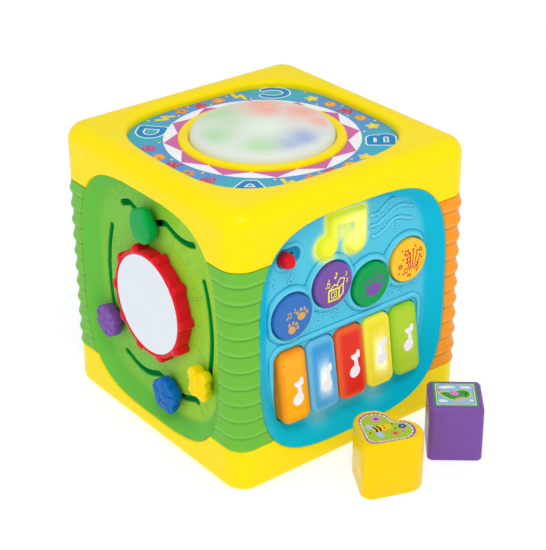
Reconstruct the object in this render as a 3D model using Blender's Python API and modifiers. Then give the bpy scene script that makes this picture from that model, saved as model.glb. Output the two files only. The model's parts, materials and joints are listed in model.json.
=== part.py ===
"""Baby activity cube: a battery toy with a drum top, a piano side, a mirror side, a shape sorter side
and a gear side, and two loose sorter blocks.

Units are metres, +Z is up, and the origin is the centre of the cube's underside. The piano side faces -Y,
the mirror side -X, the sorter side +X and the gear side +Y.

Each side has its own empty at the foot of its outer plane. Pieces on a side are placed in that side's own
coordinates: x runs to the right as one looks at the side, y is the depth into the cube and z is the height.
"""

import math

import bmesh
import bpy
from mathutils import Matrix, Vector

# Cube
WIDTH = 0.240
HEIGHT = 0.245
HALF = WIDTH / 2
WALL = 0.003
CORNER_RADIUS = 0.0195
TOP_EDGE_RADIUS = 0.014
BOTTOM_EDGE_RADIUS = 0.008
GAP = 0.0003

# Heights of the joints between the bottom cap, the corner posts and the top cap
BOTTOM_CAP_TOP = 0.0397
TOP_CAP_BOTTOM = 0.1970

# Openings in the four sides: a superellipse, half width by half height
OPENING_HALF_WIDTH = {"front": 0.0970, "back": 0.0970, "left": 0.0956, "right": 0.0956}
OPENING_HALF_HEIGHT = 0.1030
OPENING_CENTRE_Z = 0.1200
OPENING_POWER = 3.5
OPENING_POINTS = 32

# Dished panels that fill the openings
PANEL_CLEARANCE = 0.0004
PANEL_RIM_DEPTH = 0.0008
FLANGE_WIDTH = 0.003
FLANGE_THICKNESS = 0.002
FLOOR_DEPTH = 0.012
FLOOR_THICKNESS = 0.0025
FLOOR_BACK = FLOOR_DEPTH + FLOOR_THICKNESS
FLOOR_HALF_WIDTH = 0.079
FLOOR_TOP_Z = 0.2130
FLOOR_BOTTOM_Z = {"front": 0.0400, "back": 0.0340, "left": 0.0305, "right": 0.0340}
DISH_PROFILE = ((0.55, 0.0096), (0.25, 0.0052))

# Drum top
RECESS_HALF_X = 0.0974
RECESS_HALF_Y = 0.0940
RECESS_POWER = 3.4
RECESS_FLOOR_Z = 0.2370
LABEL_TOP_Z = 0.2380
CEILING_Z = 0.2348
DRUM_HOLE_RADIUS = 0.0612
DOME_RADIUS = 0.0594
DOME_RISE = 0.0155
DOME_WALL = 0.0025
DRUM_RING_OUTER = 0.0690
DRUM_RING_INNER = 0.0600
DRUM_RING_RISE = 0.0036

# Piano side
KEY_COUNT = 5
KEY_PITCH = 0.0296
KEY_WIDTH = 0.0286
KEY_BOTTOM_Z = 0.0475
KEY_TOP_Z = 0.1105
KEY_TOP_DEPTH = 0.0085
KEY_BOTTOM_DEPTH = -0.0002
KEY_BACK_DEPTH = 0.0168
KEY_PIVOT_Z = 0.1085
KEY_PIVOT_DEPTH = 0.0155
KEY_OPENING_MARGIN = 0.0010
BUTTON_RADIUS = 0.0190
BUTTON_CLEARANCE = 0.0006
BUTTON_FLANGE_RADIUS = 0.0202
BUTTON_FRONT_DEPTH = 0.0060
BUTTONS = {
    "button_blue": (-0.0593, 0.1406),
    "button_purple": (-0.0189, 0.1552),
    "button_green": (0.0212, 0.1421),
    "button_amber": (0.0611, 0.1508),
}
COLLAR_FOOT_RADIUS = 0.0236
COLLAR_TOP_RADIUS = 0.0203
COLLAR_DEPTH = 0.0085
COLLAR_STEP = 0.00005
SWITCH_PIT_CENTRE = (-0.0597, 0.1910)
SWITCH_PIT_SIZE = (0.0235, 0.0170)
SWITCH_KNOB_SIZE = (0.0120, 0.0125)
SWITCH_REST_X = -0.0647
SWITCH_TRAVEL = 0.0095
NOTE_HEAD_RADIUS = 0.0090
NOTE_HEADS = ((-0.0235, 0.1895), (0.0065, 0.1865))
NOTE_STEM_WIDTH = 0.0062
NOTE_TOP_Z = (0.2150, 0.2130)
NOTE_BEAM = 0.0110

# Mirror side
MIRROR_CENTRE_Z = 0.1238
RING_RADIUS = 0.0450
RING_BUMP_REACH = 0.0487
RING_BUMPS = 10
RING_FRONT_DEPTH = -0.0010
RING_BACK_DEPTH = 0.0113
MIRROR_RADIUS = 0.0425
MIRROR_DEPTH = 0.0006
MIRROR_THICKNESS = 0.0012
HUB_RADIUS = 0.0080
HUB_HOLE_RADIUS = 0.0083
SLOT_HALF_WIDTH = 0.0030
STEM_RADIUS = 0.0022
SCREW_RADIUS = 0.0012
WAVE_AMPLITUDE = 0.0032
WAVE_PERIOD = 0.050
KNOB_BACK_DEPTH = 0.0112
KNOB_PROFILE = ((KNOB_BACK_DEPTH, 0.48), (0.0090, 0.80), (0.0067, 0.98), (0.0030, 0.98), (0.0010, 0.80))
ARC_RADIUS = 0.1400
ARC_REACH = 0.0725
ARC_CENTRE_Z = 0.1210
ARC_TOP_Z = 0.1670
ARC_REST_Z = 0.0790

# Sorter side and its blocks
BLOCK_HEIGHT = 0.050
SQUARE_SIZE = 0.045
HEART_WIDTH = 0.060
HEART_LENGTH = 0.0526
BLOCK_WALL = 0.0030
BLOCK_ROUNDING = 0.0030
BLOCK_HOLE_CLEARANCE = 0.0015
HEART_HOLE = (-0.0315, 0.166)
SQUARE_HOLE = (0.0375, 0.166)
HEART_PLACE = (-0.0176, -0.1734, 20.3)
SQUARE_PLACE = (0.0635, -0.1715, -40.0)
DOOR_HALF_WIDTH = 0.0500
DOOR_BOTTOM_Z = 0.0572
DOOR_TOP_Z = 0.1150
DOOR_GAP = 0.0006
DOOR_SWING_GAP = 0.0025
DOOR_FRONT_DEPTH = 0.0118
DOOR_BACK_DEPTH = 0.0148
DOOR_PIVOT_Z = 0.0586
DOOR_PIVOT_DEPTH = 0.0146
BIN_FRONT_DEPTH = 0.0190
BIN_BACK_DEPTH = 0.0900
BIN_HALF_WIDTH = 0.0660
BIN_BOTTOM_Z = 0.0460
BIN_TOP_Z = 0.2050
BIN_WALL = 0.0020

# Gear side: name, teeth, centre
TOOTH_PITCH = 0.0170
TOOTH_HEIGHT = 0.0030
GEAR_MESH_GAP = 0.0013
GEAR_FRONT_DEPTH = 0.0012
GEAR_BACK_DEPTH = 0.0110
AXLE_RADIUS = 0.0050
AXLE_HOLE_RADIUS = 0.0054
AXLE_SNAP_RADIUS = 0.0066
LARGE_TEETH = 13
MEDIUM_TEETH = 10
SMALL_TEETH = 7
LARGE_GEAR_CENTRE = (-0.0300, 0.1020)
MEDIUM_GEAR_ANGLE = 35.0
SMALL_GEAR_ANGLE = 92.0

# Base
BATTERY_OPENING = ((-0.038, 0.026), (0.038, 0.086))
BATTERY_BOX_MARGIN = 0.006
BATTERY_BOX_TOP = 0.024
CELL_RADIUS = 0.0072
CELL_LENGTH = 0.0500
CELL_ROWS_Y = (0.0360, 0.0515, 0.0670)
CELL_Z = 0.0128
BOSS_OFFSET = 0.1080
BOSS_RADIUS = 0.0065
CASE_SCREW_RADIUS = 0.0018
CASE_SCREW_HOLE = 0.0022
CASE_SCREW_HEAD_RADIUS = 0.0040
COUNTERBORE_RADIUS = 0.0044
COUNTERBORE_TOP = 0.0080
CASE_SCREW_TOP = 0.0660

COLOURS = {
    "yellow": ((0.95, 0.80, 0.01), 0.30),
    "leaf": ((0.20, 0.53, 0.06), 0.35),
    "lime": ((0.30, 0.60, 0.05), 0.35),
    "orange": ((0.94, 0.33, 0.02), 0.35),
    "cyan": ((0.04, 0.52, 0.72), 0.35),
    "red": ((0.76, 0.02, 0.03), 0.25),
    "purple": ((0.21, 0.08, 0.40), 0.30),
    "blue": ((0.03, 0.19, 0.56), 0.30),
    "green": ((0.01, 0.38, 0.09), 0.30),
    "amber": ((1.00, 0.58, 0.05), 0.30),
    "milky": ((0.88, 0.90, 0.90), 0.25),
    "lens": ((0.90, 0.90, 0.20), 0.25),
    "sticker": ((0.10, 0.45, 0.75), 0.40),
    "mirror": ((0.80, 0.83, 0.86), 0.05),
    "rubber": ((0.25, 0.25, 0.26), 0.80),
    "board": ((0.02, 0.22, 0.08), 0.50),
    "dark": ((0.03, 0.03, 0.03), 0.50),
    "steel": ((0.60, 0.60, 0.62), 0.30),
}
METALS = {"steel": 1.0, "mirror": 1.0}

SIDE_TURNS = {"front": 0.0, "left": -90.0, "right": 90.0, "back": 180.0}


# ------------------------------------------------------------------ scene, materials and objects

def clear_scene():
    for item in list(bpy.data.objects):
        bpy.data.objects.remove(item, do_unlink=True)


def new_collection(name):
    collection = bpy.data.collections.new(name)
    bpy.context.scene.collection.children.link(collection)
    return collection


def make_materials():
    made = {}
    for name, (colour, roughness) in COLOURS.items():
        material = bpy.data.materials.new(name)
        material.use_nodes = True
        shader = material.node_tree.nodes["Principled BSDF"]
        shader.inputs["Base Color"].default_value = (*colour, 1.0)
        shader.inputs["Roughness"].default_value = roughness
        shader.inputs["Metallic"].default_value = METALS.get(name, 0.0)
        made[name] = material
    return made


clear_scene()
PARTS = new_collection("baby_activity_cube")
CUTTERS = new_collection("cutters")
MATERIALS = make_materials()


def make_sides():
    """One empty for each side, at the foot of its outer plane, with +y pointing into the cube."""
    sides = {}
    for name, turn in SIDE_TURNS.items():
        empty = bpy.data.objects.new(name + "_side", None)
        turning = Matrix.Rotation(math.radians(turn), 4, "Z")
        empty.matrix_world = turning @ Matrix.Translation((0.0, -HALF, 0.0))
        CUTTERS.objects.link(empty)
        sides[name] = empty
    return sides


SIDES = make_sides()


def add_part(name, mesh, colour, side=None, at=(0.0, 0.0, 0.0), turn=0.0):
    """A named sub-part, on a side's empty or in the cube's own frame."""
    part = bpy.data.objects.new(name, mesh)
    part.location = at
    part.rotation_euler = (0.0, 0.0, math.radians(turn))
    part.parent = SIDES.get(side)
    part.data.materials.clear()
    part.data.materials.append(MATERIALS[colour])
    PARTS.objects.link(part)
    return part


def add_tool(mesh, side=None, at=(0.0, 0.0, 0.0), turn=0.0):
    """A shape that cuts, limits or joins another, left out of the model itself."""
    tool = bpy.data.objects.new("tool", mesh)
    tool.location = at
    tool.rotation_euler = (0.0, 0.0, math.radians(turn))
    tool.parent = SIDES.get(side)
    tool.hide_render = True
    tool.display_type = "WIRE"
    CUTTERS.objects.link(tool)
    return tool


def boolean(part, operation, tool):
    modifier = part.modifiers.new(operation.lower(), "BOOLEAN")
    modifier.operation = operation
    modifier.solver = "EXACT"
    modifier.object = tool


def cut(part, tool):
    boolean(part, "DIFFERENCE", tool)


def join(part, tool):
    boolean(part, "UNION", tool)


def keep(part, tool):
    boolean(part, "INTERSECT", tool)


def bevel(part, width, segments):
    modifier = part.modifiers.new("bevel", "BEVEL")
    modifier.width = width
    modifier.segments = segments
    modifier.limit_method = "ANGLE"
    modifier.angle_limit = math.radians(40.0)


# ------------------------------------------------------------------ mesh makers

def finish_mesh(work, name):
    bmesh.ops.recalc_face_normals(work, faces=work.faces[:])
    mesh = bpy.data.meshes.new(name)
    work.to_mesh(mesh)
    work.free()
    mesh.shade_smooth()
    mesh.set_sharp_from_angle(angle=math.radians(35.0))
    return mesh


def box_mesh(low, high):
    work = bmesh.new()
    bmesh.ops.create_cube(work, size=1.0)
    size = Vector(high) - Vector(low)
    centre = (Vector(high) + Vector(low)) / 2
    bmesh.ops.scale(work, vec=size, verts=work.verts[:])
    bmesh.ops.translate(work, vec=centre, verts=work.verts[:])
    return finish_mesh(work, "box")


def rounded_block_mesh(half_x, half_y, low_z, high_z, corner, top, bottom, segments):
    """A box with rounded upright edges, then rounded top and bottom edges."""
    work = bmesh.new()
    bmesh.ops.create_cube(work, size=2.0)
    bmesh.ops.scale(work, vec=(half_x, half_y, (high_z - low_z) / 2), verts=work.verts[:])
    bmesh.ops.translate(work, vec=(0.0, 0.0, (high_z + low_z) / 2), verts=work.verts[:])
    upright = [e for e in work.edges if abs(e.verts[0].co.z - e.verts[1].co.z) > 1e-6]
    bmesh.ops.bevel(work, geom=upright, offset=corner, segments=segments, profile=0.5, affect="EDGES")
    for level, radius in ((high_z, top), (low_z, bottom)):
        if radius > 0.0:
            rim = [e for e in work.edges if all(abs(v.co.z - level) < 1e-6 for v in e.verts)]
            bmesh.ops.bevel(work, geom=rim, offset=radius, segments=3, profile=0.5, affect="EDGES")
    return finish_mesh(work, "block")


def loft_mesh(rings):
    """A closed solid through rings of equal length, capped at both ends."""
    work = bmesh.new()
    loops = [[work.verts.new(point) for point in ring] for ring in rings]
    for below, above in zip(loops, loops[1:]):
        for i in range(len(below)):
            j = (i + 1) % len(below)
            work.faces.new((below[i], below[j], above[j], above[i]))
    work.faces.new(loops[0][::-1])
    work.faces.new(loops[-1])
    return finish_mesh(work, "loft")


def curve_plate_mesh(outlines, thickness):
    """A flat plate in XY, centred on z = 0. Outlines after the first are holes."""
    curve = bpy.data.curves.new("outline", "CURVE")
    curve.dimensions = "2D"
    curve.fill_mode = "BOTH"
    curve.extrude = thickness / 2
    for outline in outlines:
        spline = curve.splines.new("POLY")
        spline.points.add(len(outline) - 1)
        for point, (x, y) in zip(spline.points, outline):
            point.co = (x, y, 0.0, 1.0)
        spline.use_cyclic_u = True
    holder = bpy.data.objects.new("outline", curve)
    CUTTERS.objects.link(holder)
    evaluated = holder.evaluated_get(bpy.context.evaluated_depsgraph_get())
    mesh = bpy.data.meshes.new_from_object(evaluated)
    bpy.data.objects.remove(holder, do_unlink=True)
    bpy.data.curves.remove(curve)
    work = bmesh.new()
    work.from_mesh(mesh)
    bmesh.ops.remove_doubles(work, verts=work.verts[:], dist=1e-6)
    bpy.data.meshes.remove(mesh)
    return finish_mesh(work, "plate")


def flat_plate_mesh(outlines, low_z, high_z):
    """A level plate between two heights."""
    mesh = curve_plate_mesh(outlines, high_z - low_z)
    mesh.transform(Matrix.Translation((0.0, 0.0, (low_z + high_z) / 2)))
    return mesh


def side_plate_mesh(outlines, front, back):
    """A plate that stands in a side, its outline in x and z, between two depths."""
    mesh = curve_plate_mesh(outlines, back - front)
    mesh.transform(Matrix.Rotation(math.radians(90.0), 4, "X"))
    mesh.transform(Matrix.Translation((0.0, (front + back) / 2, 0.0)))
    return mesh


def turned_part(name, profile, colour, side=None, at=(0.0, 0.0, 0.0), segments=32):
    """A turned sub-part. On a side the axis runs into the cube, otherwise it is upright."""
    part = add_part(name, profile_mesh(profile), colour, side, at)
    return spin_up(part, side, segments)


def turned_tool(profile, side=None, at=(0.0, 0.0, 0.0), segments=32):
    tool = add_tool(profile_mesh(profile), side, at)
    return spin_up(tool, side, segments)


def profile_mesh(profile):
    """An open profile from (radius, distance along the axis) pairs, both ends on the axis or closed."""
    mesh = bpy.data.meshes.new("profile")
    vertices = [(radius, 0.0, along) for radius, along in profile]
    edges = [(i, i + 1) for i in range(len(vertices) - 1)]
    if profile[0][0] > 0.0:
        edges.append((len(vertices) - 1, 0))
    mesh.from_pydata(vertices, edges, [])
    return mesh


def spin_up(item, side, segments):
    if side:
        item.rotation_euler = (math.radians(-90.0), 0.0, 0.0)
    screw = item.modifiers.new("turn", "SCREW")
    screw.axis = "Z"
    screw.steps = segments
    screw.render_steps = segments
    screw.use_merge_vertices = True
    screw.merge_threshold = 0.00001
    return item


def rod_profile(radius, start, end):
    return ((0.0, end), (radius, end), (radius, start), (0.0, start))


# ------------------------------------------------------------------ outlines

def power(value, exponent):
    return math.copysign(abs(value) ** exponent, value)


def superellipse(half_x, half_y, centre_y, exponent, count):
    points = []
    for i in range(count):
        angle = 2.0 * math.pi * i / count
        x = half_x * power(math.cos(angle), 2.0 / exponent)
        y = centre_y + half_y * power(math.sin(angle), 2.0 / exponent)
        points.append((x, y))
    return points


def circle(radius, count, centre=(0.0, 0.0)):
    return [(centre[0] + radius * math.cos(2.0 * math.pi * i / count),
             centre[1] + radius * math.sin(2.0 * math.pi * i / count)) for i in range(count)]


def arc(centre, radius, start, end, count):
    """Points from one angle to the other, in degrees."""
    points = []
    for i in range(count):
        angle = math.radians(start + (end - start) * i / (count - 1))
        points.append((centre[0] + radius * math.cos(angle), centre[1] + radius * math.sin(angle)))
    return points


def rounded_rectangle(low, high, radius, count=4):
    points = arc((high[0] - radius, high[1] - radius), radius, 0.0, 90.0, count)
    points += arc((low[0] + radius, high[1] - radius), radius, 90.0, 180.0, count)
    points += arc((low[0] + radius, low[1] + radius), radius, 180.0, 270.0, count)
    points += arc((high[0] - radius, low[1] + radius), radius, 270.0, 360.0, count)
    return points


def grown(outline, distance):
    """The outline moved outward along its own corners. The outline runs anticlockwise."""
    moved = []
    count = len(outline)
    for i, point in enumerate(outline):
        before = Vector(point) - Vector(outline[i - 1])
        after = Vector(outline[(i + 1) % count]) - Vector(point)
        before.normalize()
        after.normalize()
        normal = Vector((before.y + after.y, -before.x - after.x)).normalized()
        slant = max(0.5, normal.dot(Vector((after.y, -after.x))))
        moved.append(tuple(Vector(point) + normal * (distance / slant)))
    return moved


def stroke(path, half_width, cap_points=4):
    """The outline of a round-ended slot that follows a path."""
    left, right = [], []
    for i, point in enumerate(path):
        ahead = Vector(path[min(i + 1, len(path) - 1)]) - Vector(path[max(i - 1, 0)])
        ahead.normalize()
        across = Vector((-ahead.y, ahead.x)) * half_width
        left.append(tuple(Vector(point) + across))
        right.append(tuple(Vector(point) - across))
    start = math.degrees(math.atan2(*(Vector(right[0]) - Vector(path[0])).yx))
    end = math.degrees(math.atan2(*(Vector(right[-1]) - Vector(path[-1])).yx))
    head = arc(path[-1], half_width, end, end + 180.0, cap_points + 2)[1:-1]
    tail = arc(path[0], half_width, start - 180.0, start, cap_points + 2)[1:-1]
    return right + head + left[::-1] + tail


def radial_outline(reach, count):
    """An outline from a function that gives the radius at each angle."""
    points = []
    for i in range(count):
        angle = 2.0 * math.pi * i / count
        points.append((reach(angle) * math.cos(angle), reach(angle) * math.sin(angle)))
    return points


def heart_outline(width, length, count=32):
    """A plump heart that points to -x: each half is the hull of a round lobe and the round tip."""
    lobe, tip = width * 0.27, width * 0.15
    circles = []
    for i in range(13):
        share = i / 12
        x = (tip - length / 2) * (1.0 - share) + (length / 2 - lobe) * share
        circles.append((x, (width / 2 - lobe) * share, tip + (lobe - tip) * share))

    def reach(angle):
        furthest = 0.0
        for x, y, radius in circles:
            along = x * math.cos(angle) + y * abs(math.sin(angle))
            left = radius ** 2 + along ** 2 - x ** 2 - y ** 2
            if left > 0.0:
                furthest = max(furthest, along + math.sqrt(left))
        return furthest

    return radial_outline(reach, count)


# ------------------------------------------------------------------ shell: caps and corner posts

def opening_outline(side, grow=0.0):
    half_width = OPENING_HALF_WIDTH[side] + grow
    half_height = OPENING_HALF_HEIGHT + grow
    return superellipse(half_width, half_height, OPENING_CENTRE_Z, OPENING_POWER, OPENING_POINTS)


def shell_piece(name, colour, low, high, tools):
    """The part of the hollow rounded cube that lies between two corners of space."""
    outer = rounded_block_mesh(HALF, HALF, 0.0, HEIGHT, CORNER_RADIUS, TOP_EDGE_RADIUS,
                               BOTTOM_EDGE_RADIUS, 4)
    piece = add_part(name, outer, colour)
    cut(piece, tools["hollow"])
    cut(piece, tools["front_back"])
    cut(piece, tools["left_right"])
    keep(piece, add_tool(box_mesh(low, high)))
    return piece


def shell_tools():
    hollow = rounded_block_mesh(HALF - WALL, HALF - WALL, WALL, CEILING_Z, CORNER_RADIUS - WALL,
                                0.006, 0.005, 4)
    reach = WIDTH + WALL
    return {
        "hollow": add_tool(hollow),
        "front_back": add_tool(side_plate_mesh([opening_outline("front")], -WALL, reach), "front"),
        "left_right": add_tool(side_plate_mesh([opening_outline("left")], -WALL, reach), "left"),
    }


def make_top_cap(tools):
    far = HALF + WALL
    cap = shell_piece("top_cap", "yellow", (-far, -far, TOP_CAP_BOTTOM), (far, far, HEIGHT + WALL), tools)
    recess = superellipse(RECESS_HALF_X, RECESS_HALF_Y, 0.0, RECESS_POWER, OPENING_POINTS)
    cut(cap, add_tool(flat_plate_mesh([recess], RECESS_FLOOR_Z, HEIGHT + WALL)))
    well = (0.0660, 0.0685)
    join(cap, turned_tool(((well[0], 0.2190), (well[0], 0.2355), (well[1], 0.2355), (well[1], 0.2190))))
    cut(cap, turned_tool(rod_profile(DRUM_HOLE_RADIUS, 0.2200, HEIGHT)))


def boss_places():
    return [(x * BOSS_OFFSET, y * BOSS_OFFSET) for x in (-1, 1) for y in (-1, 1)]


def make_bottom_cap(tools):
    far = HALF + WALL
    cap = shell_piece("bottom_cap", "yellow", (-far, -far, -WALL), (far, far, BOTTOM_CAP_TOP), tools)
    for x, y in boss_places():
        join(cap, turned_tool(rod_profile(BOSS_RADIUS, 0.0025, BOTTOM_CAP_TOP), at=(x, y, 0.0), segments=10))
        cut(cap, turned_tool(rod_profile(CASE_SCREW_HOLE, -WALL, HEIGHT), at=(x, y, 0.0), segments=8))
        cut(cap, turned_tool(rod_profile(COUNTERBORE_RADIUS, -WALL, COUNTERBORE_TOP), at=(x, y, 0.0), segments=8))
    (low_x, low_y), (high_x, high_y) = BATTERY_OPENING
    cut(cap, add_tool(box_mesh((low_x, low_y, -WALL), (high_x, high_y, 2 * WALL))))


def make_corner_posts(tools):
    far = HALF + WALL
    bottom = BOTTOM_CAP_TOP + GAP
    top = TOP_CAP_BOTTOM - GAP
    names = {(-1, -1): "post_front_left", (-1, 1): "post_back_left",
             (1, -1): "post_front_right", (1, 1): "post_back_right"}
    for (x_sign, y_sign), name in names.items():
        low = (min(0.0, x_sign * far), min(0.0, y_sign * far), bottom)
        high = (max(0.0, x_sign * far), max(0.0, y_sign * far), top)
        post = shell_piece(name, "leaf" if x_sign < 0 else "orange", low, high, tools)
        place = (x_sign * BOSS_OFFSET, y_sign * BOSS_OFFSET, 0.0)
        join(post, turned_tool(rod_profile(BOSS_RADIUS, bottom, top), at=place, segments=10))
        cut(post, turned_tool(rod_profile(CASE_SCREW_HOLE, 0.0, CASE_SCREW_TOP + 0.002), at=place, segments=8))


def make_case_screws():
    for number, (x, y) in enumerate(boss_places(), start=1):
        head = COUNTERBORE_TOP - GAP
        profile = ((0.0, CASE_SCREW_TOP), (CASE_SCREW_RADIUS, CASE_SCREW_TOP), (CASE_SCREW_RADIUS, head),
                   (CASE_SCREW_HEAD_RADIUS, head), (CASE_SCREW_HEAD_RADIUS, head - 0.0025),
                   (0.0, head - 0.0025))
        turned_part(f"case_screw_{number}", profile, "steel", at=(x, y, 0.0), segments=8)


# ------------------------------------------------------------------ drum top

def make_drum():
    label = superellipse(RECESS_HALF_X - PANEL_CLEARANCE, RECESS_HALF_Y - PANEL_CLEARANCE, 0.0, RECESS_POWER,
                         OPENING_POINTS)
    hole = circle(DRUM_HOLE_RADIUS, 32)
    add_part("drum_label", flat_plate_mesh([label, hole], RECESS_FLOOR_Z + GAP, LABEL_TOP_Z), "sticker")

    base = LABEL_TOP_Z + GAP
    top = LABEL_TOP_Z + DRUM_RING_RISE
    ring = ((DRUM_RING_INNER, top - 0.0012), (DRUM_RING_INNER + 0.0015, top), (DRUM_RING_OUTER - 0.003, top),
            (DRUM_RING_OUTER, top - 0.002), (DRUM_RING_OUTER, base), (DRUM_RING_INNER, base))
    turned_part("drum_ring", ring, "yellow", segments=30)

    crown = LABEL_TOP_Z + DOME_RISE
    foot = CEILING_Z - 0.0035
    outer = []
    for angle in (90.0, 60.0, 30.0, 0.0):
        along = math.sin(math.radians(angle)) ** 0.8
        radius = DOME_RADIUS * math.cos(math.radians(angle)) ** 0.45 if angle < 90.0 else 0.0
        outer.append((radius, LABEL_TOP_Z + 0.002 + (crown - LABEL_TOP_Z - 0.002) * along))
    skirt = [(DOME_RADIUS, CEILING_Z - GAP), (DOME_RADIUS + 0.004, CEILING_Z - GAP),
             (DOME_RADIUS + 0.004, foot), (DOME_RADIUS - DOME_WALL, foot)]
    inner = [(max(0.0, radius - DOME_WALL), along - DOME_WALL) for radius, along in outer[::-1]]
    turned_part("drum_dome", outer + skirt + inner, "milky", segments=30)

    turned_part("drum_light_board", rod_profile(0.0655, 0.2200, 0.2216), "board", segments=24)


# ------------------------------------------------------------------ dished side panels

def dish_ring(side, share, depth, grow=0.0):
    """A ring of the dish: share 0 is the rim in the opening, and share 1 is the edge of the flat floor."""
    rim_x = OPENING_HALF_WIDTH[side] - PANEL_CLEARANCE
    rim_z = OPENING_HALF_HEIGHT - PANEL_CLEARANCE
    half_x = rim_x + (FLOOR_HALF_WIDTH - rim_x) * share + grow
    floor_half_height = (FLOOR_TOP_Z - FLOOR_BOTTOM_Z[side]) / 2
    floor_centre_z = (FLOOR_TOP_Z + FLOOR_BOTTOM_Z[side]) / 2
    half_z = rim_z + (floor_half_height - rim_z) * share + grow
    centre_z = OPENING_CENTRE_Z + (floor_centre_z - OPENING_CENTRE_Z) * share
    outline = superellipse(half_x, half_z, centre_z, OPENING_POWER, OPENING_POINTS)
    return [(x, depth, z) for x, z in outline]


def dished_panel(name, side, colour):
    flange_front = WALL + PANEL_CLEARANCE
    flange_grow = FLANGE_WIDTH + PANEL_CLEARANCE
    rings = [dish_ring(side, 1.0, FLOOR_DEPTH)]
    rings += [dish_ring(side, share, depth) for share, depth in DISH_PROFILE]
    rings.append(dish_ring(side, 0.0, PANEL_RIM_DEPTH))
    rings.append(dish_ring(side, 0.0, flange_front))
    rings.append(dish_ring(side, 0.0, flange_front, flange_grow))
    rings.append(dish_ring(side, 0.0, flange_front + FLANGE_THICKNESS, flange_grow))
    rings.append(dish_ring(side, 0.45, 0.0114, 0.001))
    rings.append(dish_ring(side, 1.0, FLOOR_BACK, 0.0005))
    return add_part(name, loft_mesh(rings), colour, side)


def round_hole(panel, side, centre, radius, segments=28):
    profile = rod_profile(radius, 0.0, FLOOR_BACK + 0.006)
    cut(panel, turned_tool(profile, side, (centre[0], 0.0, centre[1]), segments))


def outline_hole(panel, side, outline, front=0.0, back=FLOOR_BACK + 0.006):
    cut(panel, add_tool(side_plate_mesh([outline], front, back), side))


# ------------------------------------------------------------------ piano side

def note_outline():
    """A chunky pair of beamed quavers, anticlockwise from the foot of the right note."""
    (left_x, left_z), (right_x, right_z) = NOTE_HEADS
    left_top, right_top = NOTE_TOP_Z
    radius = NOTE_HEAD_RADIUS
    stem = NOTE_STEM_WIDTH
    points = arc((right_x, right_z), radius, 170.0, 350.0, 9)
    points.append((right_x + radius, right_z))
    points.append((right_x + radius, right_top))
    points.append((left_x + radius - stem, left_top))
    points += arc((left_x, left_z), radius, 70.0, 350.0, 12)
    points.append((left_x + radius, left_z))
    points.append((left_x + radius, left_top - NOTE_BEAM))
    points.append((right_x + radius - stem, right_top - NOTE_BEAM))
    points += arc((right_x, right_z), radius, 70.0, 160.0, 4)
    return points


def make_piano_panel():
    panel = dished_panel("piano_panel", "front", "cyan")
    # The collars overlap, so each stands a hair deeper than the last and no two faces share a plane.
    for number, (x, z) in enumerate(BUTTONS.values()):
        top = COLLAR_DEPTH + number * COLLAR_STEP
        foot = FLOOR_BACK - 0.001 - number * COLLAR_STEP
        collar = ((0.0, foot), (COLLAR_FOOT_RADIUS, foot), (COLLAR_TOP_RADIUS, top), (0.0, top))
        join(panel, turned_tool(collar, "front", (x, 0.0, z), 22))
    for centre in BUTTONS.values():
        round_hole(panel, "front", centre, BUTTON_RADIUS + BUTTON_CLEARANCE, 20)
    half_span = KEY_PITCH * (KEY_COUNT - 1) / 2 + KEY_WIDTH / 2 + KEY_OPENING_MARGIN
    keyboard = rounded_rectangle((-half_span, KEY_BOTTOM_Z - KEY_OPENING_MARGIN),
                                 (half_span, KEY_TOP_Z + KEY_OPENING_MARGIN), 0.002, 2)
    outline_hole(panel, "front", keyboard, -0.002)
    outline_hole(panel, "front", grown(note_outline(), PANEL_CLEARANCE))

    centre_x, centre_z = SWITCH_PIT_CENTRE
    half_x, half_z = SWITCH_PIT_SIZE[0] / 2, SWITCH_PIT_SIZE[1] / 2
    pit = rounded_rectangle((centre_x - half_x, centre_z - half_z), (centre_x + half_x, centre_z + half_z),
                            0.006)
    outline_hole(panel, "front", pit)
    pocket_margin = 0.0025
    pocket = box_mesh((centre_x - half_x - pocket_margin, FLOOR_BACK - 0.0003, centre_z - half_z - pocket_margin),
                      (centre_x + half_x + pocket_margin, FLOOR_BACK + 0.0020,
                       centre_z + half_z + pocket_margin))
    join(panel, add_tool(pocket, "front"))
    slot_low = (SWITCH_REST_X - 0.0024, centre_z - 0.0019)
    slot_high = (SWITCH_REST_X + SWITCH_TRAVEL + 0.0024, centre_z + 0.0019)
    outline_hole(panel, "front", rounded_rectangle(slot_low, slot_high, 0.0005, 2))


def make_keys():
    """Five keys that turn on their top edges. Each key is a wedge, thickest at its free lower end."""
    colours = ("orange", "blue", "red", "yellow", "lime")
    for index, colour in enumerate(colours):
        x = (index - (KEY_COUNT - 1) / 2) * KEY_PITCH
        corners = ((KEY_BOTTOM_DEPTH, KEY_BOTTOM_Z), (KEY_TOP_DEPTH, KEY_TOP_Z),
                   (KEY_BACK_DEPTH, KEY_TOP_Z), (KEY_BACK_DEPTH, KEY_BOTTOM_Z))
        rings = []
        for across in (-KEY_WIDTH / 2, KEY_WIDTH / 2):
            rings.append([(across, depth - KEY_PIVOT_DEPTH, z - KEY_PIVOT_Z) for depth, z in corners])
        key = add_part("key_" + colour, loft_mesh(rings), colour, "front", (x, KEY_PIVOT_DEPTH, KEY_PIVOT_Z))
        bevel(key, 0.0030, 1)


def make_buttons():
    crown = BUTTON_FRONT_DEPTH - 0.0012
    profile = ((0.0, 0.0172), (BUTTON_FLANGE_RADIUS, 0.0172), (BUTTON_FLANGE_RADIUS, 0.0152),
               (BUTTON_RADIUS, 0.0152), (BUTTON_RADIUS, BUTTON_FRONT_DEPTH + 0.0030),
               (BUTTON_RADIUS - 0.0028, BUTTON_FRONT_DEPTH), (0.0, crown))
    for name, (x, z) in BUTTONS.items():
        turned_part(name, profile, name.split("_")[1], "front", (x, 0.0, z), 18)


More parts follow.
